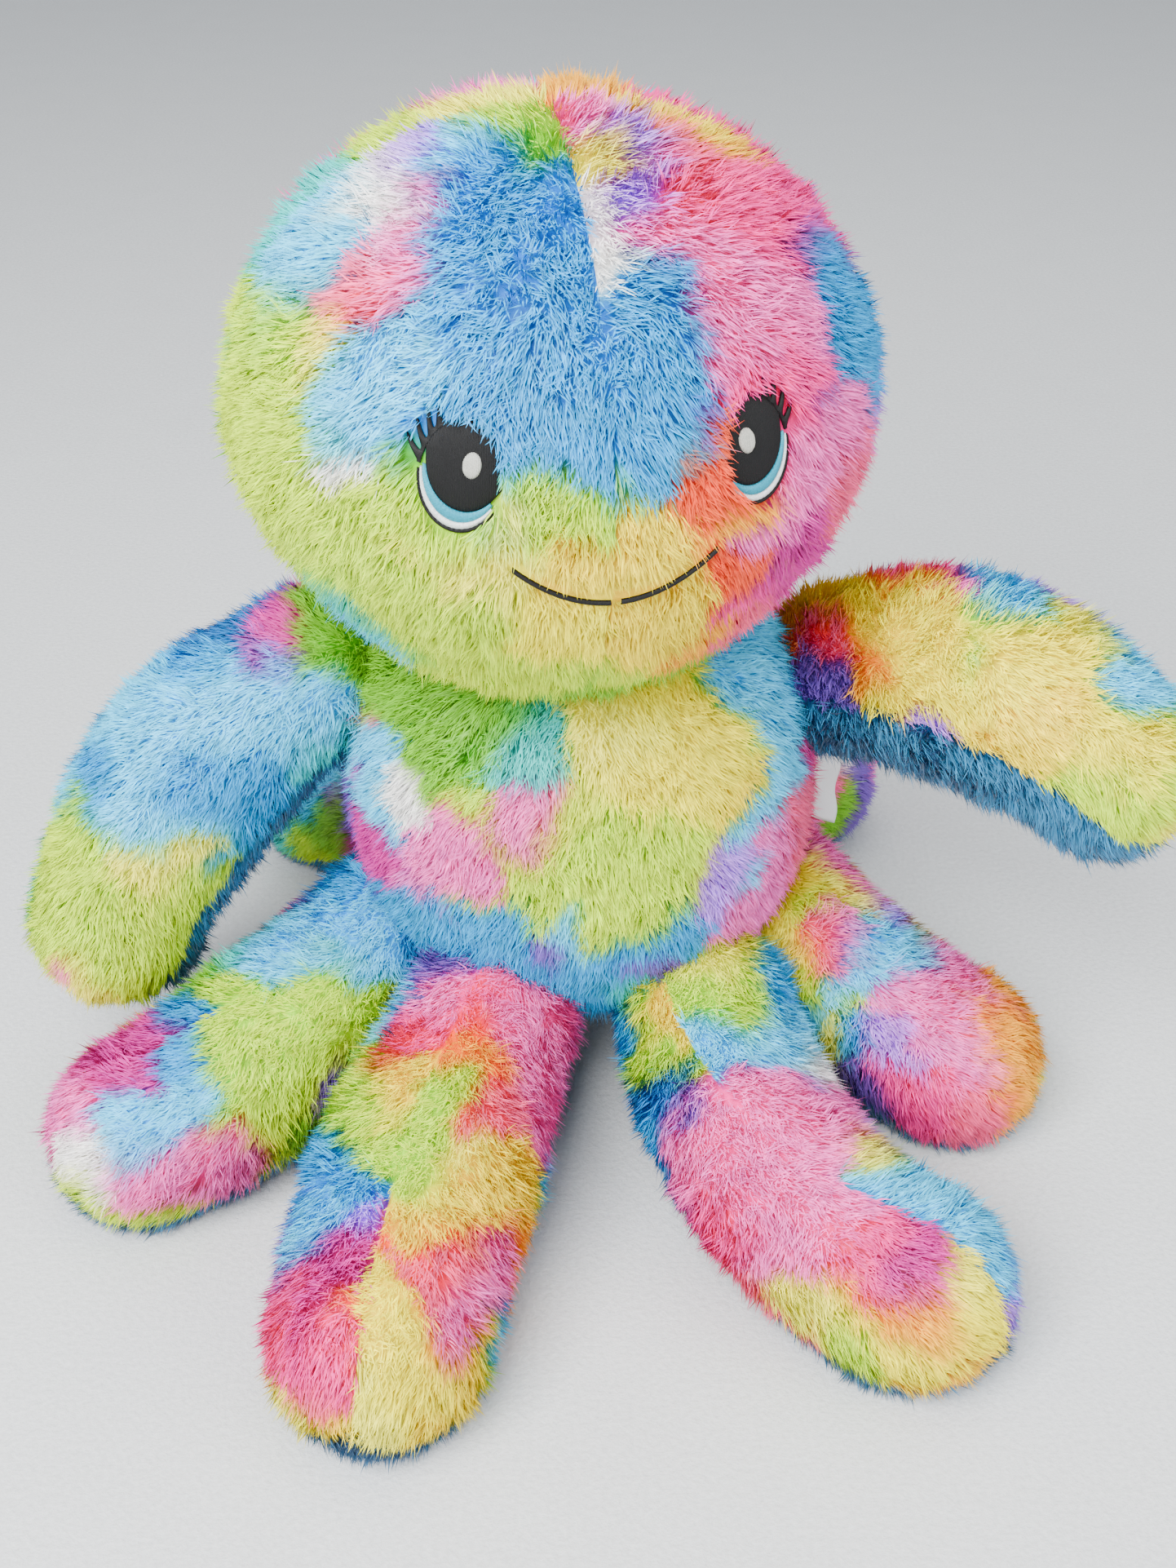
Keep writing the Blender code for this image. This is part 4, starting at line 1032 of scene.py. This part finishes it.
# degrees up from straight down and degrees round from the front
TORSO_DYE = {
    "front": [
        (134, -56, 18, "leaf"), (128, -36, 16, "leaf"), (128, -18, 14, "aqua"), (124, -68, 10, "rose"),
        (116, -58, 12, "sky"), (112, -76, 12, "sky"), (112, -44, 11, "cream"), (118, -26, 10, "lime"),
        (114, -8, 12, "rose"), (106, -32, 12, "rose"), (104, -50, 9, "sky"), (124, 26, 22, "yellow"),
        (116, 42, 14, "gold"), (134, 8, 14, "straw"), (132, 64, 16, "sky"), (112, 62, 16, "sky"),
        (104, 50, 12, "sky"), (104, 2, 22, "lime"), (96, -14, 16, "lime"), (106, 24, 16, "lime"),
        (94, 14, 12, "lime"), (98, -56, 12, "magenta"), (88, -62, 13, "magenta"), (90, -46, 10, "rose"),
        (94, -80, 14, "violet"), (82, -76, 12, "magenta"), (94, 38, 12, "lilac"), (86, 52, 15, "rose"),
        (94, 68, 15, "salmon"), (78, 62, 14, "rose"), (84, -24, 12, "cyan"), (84, 6, 10, "sky"),
        (84, 26, 12, "cyan"), (76, -44, 16, "cyan"), (76, -18, 14, "cyan"), (80, 0, 7, "violet"),
        (72, 8, 16, "cyan"), (74, 22, 8, "violet"), (66, -14, 16, "cyan"), (62, 14, 14, "aqua"),
        (64, 34, 14, "lime"), (52, 0, 14, "cyan"), (52, 60, 18, "rose"), (52, -60, 16, "deep"),
        (112, 84, 14, "pink"),
    ],
    "back_left": [
        (128, -110, 20, "cyan"), (126, -150, 20, "lime"), (104, -100, 18, "lime"), (104, -136, 22, "rose"),
        (100, -168, 18, "sky"), (82, -112, 18, "gold"), (80, -150, 22, "cyan"), (64, -104, 18, "pink"),
        (60, -168, 20, "lime"), (58, -132, 18, "violet"),
    ],
    "back_right": [
        (128, 104, 18, "pink"), (126, 150, 22, "gold"), (106, 100, 16, "sky"), (104, 130, 20, "lime"),
        (102, 166, 18, "rose"), (84, 104, 18, "salmon"), (82, 146, 22, "sky"), (64, 104, 18, "lime"),
        (60, 136, 18, "cyan"), (62, 172, 18, "straw"),
    ],
}

# share of the way from the joint to the foot or hand, and degrees round from the limb's top
LIMB_DYE = {
    "leg_front_left": {
        "left": [
            (-0.1, -40, 16, "rose"), (0.10, -50, 20, "rose"), (0.12, -10, 16, "pink"),
            (0.24, -12, 12, "orange"), (0.28, -70, 16, "rose"), (0.36, -30, 11, "salmon"),
            (0.42, -12, 13, "lime"), (0.40, -96, 12, "sky"), (0.52, -66, 16, "gold"),
            (0.50, -30, 10, "straw"), (0.62, -46, 15, "gold"), (0.60, -8, 10, "lime"),
            (0.72, -20, 12, "gold"), (0.74, -96, 15, "orange"), (0.84, -30, 13, "salmon"),
            (0.86, -72, 14, "rose"), (0.98, -40, 13, "rose"), (1.02, -14, 12, "yellow"),
            (1.16, -30, 18, "yellow"), (1.14, -84, 16, "gold"), (1.02, -100, 12, "sky"),
            (1.36, -60, 14, "straw"),
        ],
        "right": [
            (-0.1, 40, 14, "violet"), (0.06, 24, 15, "rose"), (0.08, 80, 14, "sky"),
            (0.20, 30, 13, "pink"), (0.22, 80, 12, "sky"), (0.30, 56, 12, "lime"),
            (0.36, 14, 12, "gold"), (0.44, 34, 17, "lime"), (0.42, 88, 12, "leaf"),
            (0.56, 12, 11, "lime"), (0.58, 60, 19, "cyan"), (0.60, 104, 14, "rose"),
            (0.70, 24, 12, "cyan"), (0.76, 78, 12, "lilac"), (0.80, 44, 15, "sky"),
            (0.86, 12, 8, "lilac"), (0.92, 90, 15, "rose"), (1.00, 30, 17, "magenta"),
            (1.00, 66, 15, "pink"), (1.20, 40, 16, "pink"), (1.24, 90, 15, "straw"),
            (1.14, 8, 8, "orange"), (1.40, 30, 14, "gold"),
        ],
    },
    "leg_front_right": {
        "left": [
            (-0.1, -40, 18, "straw"), (0.04, -40, 18, "lime"), (0.04, -100, 16, "sky"),
            (0.10, -4, 10, "lime"), (0.18, -66, 18, "sky"), (0.22, -18, 13, "sky"),
            (0.30, -80, 14, "cream"), (0.38, -30, 14, "rose"), (0.36, -60, 10, "lilac"),
            (0.50, -20, 16, "rose"), (0.48, -76, 14, "rose"), (0.62, -60, 12, "lilac"),
            (0.62, -22, 11, "rose"), (0.70, -40, 13, "straw"), (0.80, -14, 12, "sky"),
            (0.88, -50, 22, "sky"), (0.84, -96, 18, "lime"), (1.02, -20, 17, "sky"),
            (1.10, -70, 20, "sky"), (1.30, -30, 16, "lilac"),
        ],
        "right": [
            (-0.1, 30, 14, "lime"), (0.04, 16, 14, "gold"), (0.06, 80, 14, "cyan"),
            (0.12, 40, 9, "lime"), (0.20, 52, 12, "deep"), (0.22, 12, 10, "lime"),
            (0.30, 76, 12, "cyan"), (0.32, 38, 10, "violet"), (0.36, 106, 12, "cyan"),
            (0.44, 60, 16, "rose"), (0.44, 18, 13, "rose"), (0.46, 98, 13, "magenta"),
            (0.58, 30, 18, "rose"), (0.58, 76, 18, "pink"), (0.70, 20, 14, "rose"),
            (0.72, 58, 14, "rose"), (0.72, 104, 14, "salmon"), (0.82, 84, 12, "straw"),
            (0.86, 24, 12, "pink"), (0.96, 30, 16, "magenta"), (0.92, 52, 9, "pink"),
            (0.94, 72, 12, "gold"), (0.94, 104, 14, "lime"), (1.06, 56, 15, "orange"),
            (1.10, 86, 16, "yellow"), (1.14, 14, 12, "straw"), (1.26, 60, 18, "yellow"),
            (1.24, 110, 14, "orange"),
        ],
    },
    "leg_side_left": {
        "left": [
            (0.02, -60, 20, "deep"), (0.10, -20, 18, "sky"), (0.18, -80, 14, "violet"),
            (0.26, -8, 13, "sky"), (0.34, -44, 16, "lime"), (0.44, -84, 13, "violet"),
            (0.48, -20, 15, "lime"), (0.60, -96, 12, "leaf"), (0.62, -50, 18, "lime"),
            (0.74, -74, 16, "lime"), (0.82, -12, 11, "cyan"), (0.88, -44, 13, "sky"),
            (0.92, -88, 14, "rose"), (0.96, -12, 11, "magenta"), (1.04, -36, 12, "sky"),
            (1.08, -76, 15, "rose"), (1.08, -112, 14, "lime"), (1.24, -50, 14, "cream"),
            (1.20, -8, 12, "rose"), (1.34, -90, 16, "lime"),
        ],
        "right": [
            (0.02, 30, 20, "cyan"), (0.18, 20, 16, "sky"), (0.20, 76, 18, "rose"),
            (0.34, 10, 12, "sky"), (0.40, 50, 16, "aqua"), (0.46, 96, 16, "lime"),
            (0.52, 12, 13, "lime"), (0.62, 44, 16, "leaf"), (0.66, 84, 16, "cyan"),
            (0.76, 20, 13, "cyan"), (0.88, 14, 13, "magenta"), (0.90, 60, 17, "gold"),
            (1.00, 24, 12, "magenta"), (1.06, 90, 16, "lime"), (1.14, 34, 14, "rose"),
            (1.30, 20, 14, "rose"),
        ],
    },
    "leg_side_right": {
        "left": [
            (0.02, -40, 18, "rose"), (0.12, -84, 18, "lime"), (0.16, -12, 14, "straw"),
            (0.30, -40, 16, "lilac"), (0.36, -96, 16, "cyan"), (0.44, -14, 14, "sky"),
            (0.56, -60, 18, "gold"), (0.60, -10, 13, "sky"), (0.74, -30, 16, "rose"),
            (0.80, -90, 18, "lime"), (0.92, -14, 14, "rose"), (0.98, -60, 16, "sky"),
            (1.16, -20, 16, "orange"), (1.24, -80, 18, "straw"),
        ],
        "right": [
            (0.00, 30, 15, "gold"), (0.04, 80, 14, "straw"), (0.16, 20, 12, "lime"),
            (0.22, 54, 15, "yellow"), (0.28, 16, 14, "rose"), (0.32, 40, 12, "pink"),
            (0.36, 72, 12, "lime"), (0.46, 20, 16, "sky"), (0.48, 60, 13, "sky"),
            (0.46, 96, 14, "sky"), (0.58, 50, 9, "lime"), (0.60, 86, 12, "straw"),
            (0.60, 12, 12, "sky"), (0.68, 72, 11, "cyan"), (0.74, 100, 13, "violet"),
            (0.72, 26, 14, "rose"), (0.82, 60, 11, "lilac"), (0.90, 34, 16, "rose"),
            (0.94, 84, 20, "pink"), (1.06, 50, 16, "rose"), (1.10, 16, 13, "orange"),
            (1.16, 84, 16, "salmon"), (1.30, 40, 14, "orange"),
        ],
    },
    "leg_rear_left": {
        "left": [
            (0.04, -40, 18, "orange"), (0.20, -84, 18, "pink"), (0.30, -20, 16, "rose"),
            (0.44, -66, 15, "violet"), (0.54, -100, 14, "magenta"), (0.60, -30, 16, "sky"),
            (0.66, -84, 18, "leaf"), (0.74, -50, 15, "cyan"), (0.86, -96, 16, "lime"),
            (0.92, -26, 16, "rose"), (1.04, -70, 18, "aqua"), (1.20, -30, 18, "gold"),
        ],
        "right": [
            (0.04, 40, 20, "gold"), (0.24, 20, 15, "salmon"), (0.28, 80, 18, "lime"),
            (0.46, 40, 18, "cyan"), (0.60, 90, 18, "sky"), (0.66, 20, 16, "straw"),
            (0.82, 56, 18, "pink"), (0.98, 20, 16, "magenta"), (1.04, 90, 18, "lime"),
            (1.20, 40, 18, "sky"),
        ],
    },
    "leg_rear_right": {
        "left": [
            (0.04, -40, 20, "sky"), (0.24, -20, 15, "lime"), (0.28, -84, 18, "gold"),
            (0.46, -46, 18, "rose"), (0.60, -90, 18, "cyan"), (0.68, -20, 16, "pink"),
            (0.84, -56, 18, "straw"), (0.98, -20, 16, "orange"), (1.04, -90, 18, "lime"),
            (1.20, -40, 18, "rose"),
        ],
        "right": [
            (0.04, 40, 20, "straw"), (0.26, 20, 15, "cyan"), (0.30, 84, 18, "sky"),
            (0.48, 50, 16, "lime"), (0.60, 88, 18, "rose"), (0.74, 60, 16, "salmon"),
            (0.74, 14, 13, "sky"), (0.86, 100, 14, "leaf"), (0.90, 40, 16, "cream"),
            (1.04, 84, 16, "violet"), (1.20, 30, 18, "rose"),
        ],
    },
    "arm_left": {
        "top": [
            (-0.2, 0, 20, "leaf"), (-0.05, -50, 16, "sky"), (0.00, 30, 12, "magenta"),
            (0.02, 4, 10, "violet"), (0.08, -80, 16, "aqua"), (0.12, -40, 18, "sky"),
            (0.10, 56, 12, "deep"), (0.18, -6, 18, "sky"), (0.20, 30, 14, "cyan"),
            (0.30, -66, 16, "cyan"), (0.34, 10, 18, "sky"), (0.36, -30, 16, "cyan"),
            (0.44, 44, 16, "sky"), (0.50, -76, 14, "cyan"), (0.54, -20, 18, "sky"),
            (0.56, 16, 14, "cyan"), (0.58, -60, 12, "straw"), (0.64, 44, 12, "sky"),
            (0.70, -34, 14, "straw"), (0.74, 10, 18, "lime"), (0.76, -70, 14, "lime"),
            (0.88, -30, 20, "lime"), (0.90, 30, 18, "lime"), (0.92, 70, 14, "aqua"),
            (1.04, -70, 16, "lime"), (1.10, 0, 10, "rose"), (1.12, 30, 16, "lime"),
            (1.20, -20, 20, "straw"), (1.36, 20, 16, "sky"),
        ],
    },
    "arm_right": {
        "top": [
            (-0.2, 10, 20, "gold"), (-0.04, 30, 14, "orange"), (-0.04, -40, 16, "rose"),
            (0.08, 8, 16, "gold"), (0.08, -50, 14, "lilac"), (0.14, 50, 12, "salmon"),
            (0.18, 20, 17, "yellow"), (0.12, 78, 10, "violet"), (0.30, 26, 14, "yellow"),
            (0.30, -16, 15, "pink"), (0.34, -50, 15, "rose"), (0.30, 60, 9, "orange"),
            (0.40, 50, 14, "yellow"), (0.42, 4, 11, "rose"), (0.46, -30, 14, "sky"),
            (0.54, 2, 12, "sky"), (0.52, 76, 9, "lilac"), (0.54, 46, 17, "yellow"),
            (0.60, 16, 10, "sky"), (0.66, -50, 14, "lilac"), (0.68, 30, 15, "yellow"),
            (0.70, -8, 13, "straw"), (0.78, 56, 13, "gold"), (0.82, -24, 16, "sky"),
            (0.84, 10, 11, "sky"), (0.92, 44, 16, "yellow"), (0.96, 76, 14, "lime"),
            (0.98, -20, 17, "sky"), (1.04, 16, 12, "straw"), (1.12, 48, 14, "lime"),
            (1.20, -10, 16, "lilac"), (1.28, 30, 14, "straw"),
        ],
    },
}
UNDER_DYE = [(0.1, 180, 30, "under"), (0.6, 180, 30, "under"), (1.1, 180, 30, "under")]


# ---- the pieces

def head_flow(polar, azimuth):
    """Pile on the head lies downwards and, away from the face's middle, outwards."""
    return np.full(np.shape(polar), -1.0), 0.55 * np.sin(np.radians(azimuth))


def torso_flow(polar, azimuth):
    """Pile on the torso lies downwards."""
    return np.full(np.shape(polar), -1.0), 0.25 * np.sin(np.radians(azimuth))


def limb_flow(share, angle):
    """Pile on a limb lies towards its end, spreading from the top."""
    return np.full(np.shape(share), 1.0), 0.20 * np.sin(np.radians(angle))


def inside_torso(points):
    """How deep each point lies inside the torso's pattern, in metres."""
    out = points - TORSO
    return torso_reach(unit(out)) - np.linalg.norm(out, axis=-1)


def clear_of_limbs(points):
    """Which points of the torso's cloth aren't hidden inside a limb's root or the head."""
    seen = np.linalg.norm(points - HEAD, axis=-1) > HEAD_HALF[2] - 0.006
    for word, limb in LIMBS.items():
        root = LEG_RADII[0] if word.startswith("leg") else ARM_RADII[0]
        seen &= np.linalg.norm(points - limb.pivot, axis=-1) > root - 0.005
    return seen


def clear_of_torso(points):
    """Which points of a limb's cloth come into view in some pose."""
    return inside_torso(points) < 0.014


def build_head():
    """Four quarters of dyed plush."""
    spans = {"back_left": (-180, -90), "front_left": (-90, 0), "front_right": (0, 90),
             "back_right": (90, 180)}
    for k, (word, span) in enumerate(spans.items()):
        panel = Panel(HEAD_SURFACE, (1.2, 178.8), span, lambda a: HEAD)
        patches = [(90 + height, azimuth, size, dye) for height, azimuth, size, dye in HEAD_DYE[word]]
        build_fur(f"plush_head_{word}", "head", "dyed_plush", f"head_panel_{word}", panel, patches,
                  head_flow, 100 + k, face=word.startswith("front"))


def build_torso():
    """Front, two back halves and the plain underside."""
    spans = {"back_left": (-180, -90), "front": (-90, 90), "back_right": (90, 180)}
    for k, (word, span) in enumerate(spans.items()):
        panel = Panel(TORSO_SURFACE, (BASE_POLAR, 178.8), span, lambda a: TORSO)
        build_fur(f"plush_torso_{word}", "torso", "dyed_plush", f"torso_{word}", panel,
                  TORSO_DYE[word], torso_flow, 200 + k, keep=clear_of_limbs)
    panel = Panel(TORSO_SURFACE, (1.2, BASE_POLAR), (-180, 180), lambda a: TORSO)
    build_fur("plush_torso_base", "torso", "blue_plush", "torso_base", panel,
              [(20, 0, 60, "under")], torso_flow, 210, PILE_UNDER, keep=clear_of_limbs)


def build_limbs():
    """Two top panels and a sole for each leg; a dyed top and a plain underside for each arm."""
    for k, (word, limb) in enumerate(LIMBS.items()):
        ends = (limb.share[0], limb.share[-1])

        def middle(share, limb=limb):
            """The limb's middle line, which the cloth faces away from."""
            return np.stack([np.interp(share, limb.share, c) for c in limb.centre.T], axis=-1)

        if word.startswith("leg"):
            parts = (("left", (-SOLE_FROM, 0), "panel_left"), ("right", (0, SOLE_FROM), "panel_right"),
                     ("under", (SOLE_FROM, 360 - SOLE_FROM), "sole"))
        else:
            parts = (("top", (-ARM_SEAM, ARM_SEAM), "panel_top"),
                     ("under", (ARM_SEAM, 360 - ARM_SEAM), "panel_under"))
        for m, (part, span, node_name) in enumerate(parts):
            panel = Panel(limb.surface, ends, span, middle)
            plain = part == "under"
            build_fur(f"plush_{word}_{node_name}", word, "blue_plush" if plain else "dyed_plush",
                      f"{word}_{node_name}", panel, UNDER_DYE if plain else LIMB_DYE[word][part],
                      limb_flow, 300 + 10 * k + m, PILE_UNDER if plain else PILE, keep=clear_of_torso)


def build_label():
    """A folded satin ribbon at the back: out from the torso, twisting a little, and back from its fold."""
    label_round, label_polar, droop, twist = 116, 76, 0.55, 0.95
    width, length, gap, wave, curl = 0.030, 0.045, 0.0009, 2.6, 0.003
    root = TORSO_SURFACE(label_polar, label_round)
    out = unit(heading(label_round) + np.array([0, 0, -droop]))
    across = unit(np.cross(out, (0, 0, 1.0)))
    thick = np.cross(across, out)
    walk = np.linspace(0, 1, 90)[:, None, None]
    side = np.linspace(-0.5, 0.5, 24)[None, :, None]
    along = 1 - np.abs(1 - 2 * walk)
    lift = gap * np.cos(np.pi * np.clip((walk - 0.44) / 0.12, 0, 1))
    bend = curl * np.sin(along * wave) + 0.0012 * np.sin(9 * side + 5 * along) * along
    turn = twist * smooth(along * 1.6)
    sideways = across * np.cos(turn) - thick * np.sin(turn)
    facing = thick * np.cos(turn) + across * np.sin(turn)
    points = root + out * along * length * 0.985 + sideways * side * width + facing * (bend + lift)
    points = points + out * 0.0035 * (2 * side) ** 2 * (1 - along)
    piece = put("satin_care_label", points.reshape(-1, 3), grid_triangles(90, 24), material=SATIN,
                uv=np.stack(np.broadcast_arrays(walk[..., 0], side[..., 0] + 0.5), -1).reshape(-1, 2))
    wall = piece.modifiers.new("ribbon", "SOLIDIFY")
    wall.thickness = 0.0003
    wall.offset = 0.0
    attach(piece, "torso")
    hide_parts("care_label")


def dress_frame_nodes():
    """Materials for the nodes that stay: the fillings, the neck thread and the closing stitches."""
    looks = {"neck_seam_thread": PALE_THREAD, "back_closing_stitches": PALE_THREAD}
    for name, thing in frame["nodes"].items():
        look = FILLING if name.endswith("stuffing") else looks.get(name)
        if look is not None:
            thing.data.materials.clear()
            thing.data.materials.append(look)


# ---- floor, light and camera

def build_stage():
    """A wide felt floor under soft light from above, in front and the sides."""
    edge = 9.0
    corners = np.array([(-edge, -edge, 0), (edge, -edge, 0), (edge, edge, 0), (-edge, edge, 0)], float)
    floor = put("felt_floor", corners, np.array([[0, 1, 2], [0, 2, 3]]), material=felt_material())
    world = bpy.data.worlds.new("room")
    world.use_nodes = True
    world.node_tree.nodes["Background"].inputs[0].default_value = (0.86, 0.92, 1.0, 1)
    world.node_tree.nodes["Background"].inputs[1].default_value = 0.60
    bpy.context.scene.world = world
    for name, place, size, power in (("key", (-0.55, -1.05, 1.35), 1.1, 88.0),
                                     ("fill", (1.2, -1.0, 0.9), 1.3, 20.0),
                                     ("top", (0.1, 0.2, 1.8), 1.4, 16.0)):
        data = bpy.data.lights.new(name, "AREA")
        data.energy = power
        data.size = size
        lamp = bpy.data.objects.new(name, data)
        lamp.location = place
        aim = Vector((0, 0, 0.18)) - Vector(place)
        lamp.rotation_euler = aim.to_track_quat("-Z", "Y").to_euler()
        bpy.context.collection.objects.link(lamp)


def build_camera():
    """The eye above and in front of the toy, looking down 35 degrees."""
    data = bpy.data.cameras.new("camera")
    data.sensor_fit = "VERTICAL"
    data.sensor_height = 36.0
    data.lens = 43.46
    view = bpy.data.objects.new("camera", data)
    view.location = TORSO + np.array([0.0033, -0.637, 0.445])
    view.rotation_euler = (math.radians(55), 0, 0)
    bpy.context.collection.objects.link(view)
    bpy.context.scene.camera = view


build_head()
build_torso()
build_limbs()
build_label()
dress_frame_nodes()
build_stage()
build_camera()
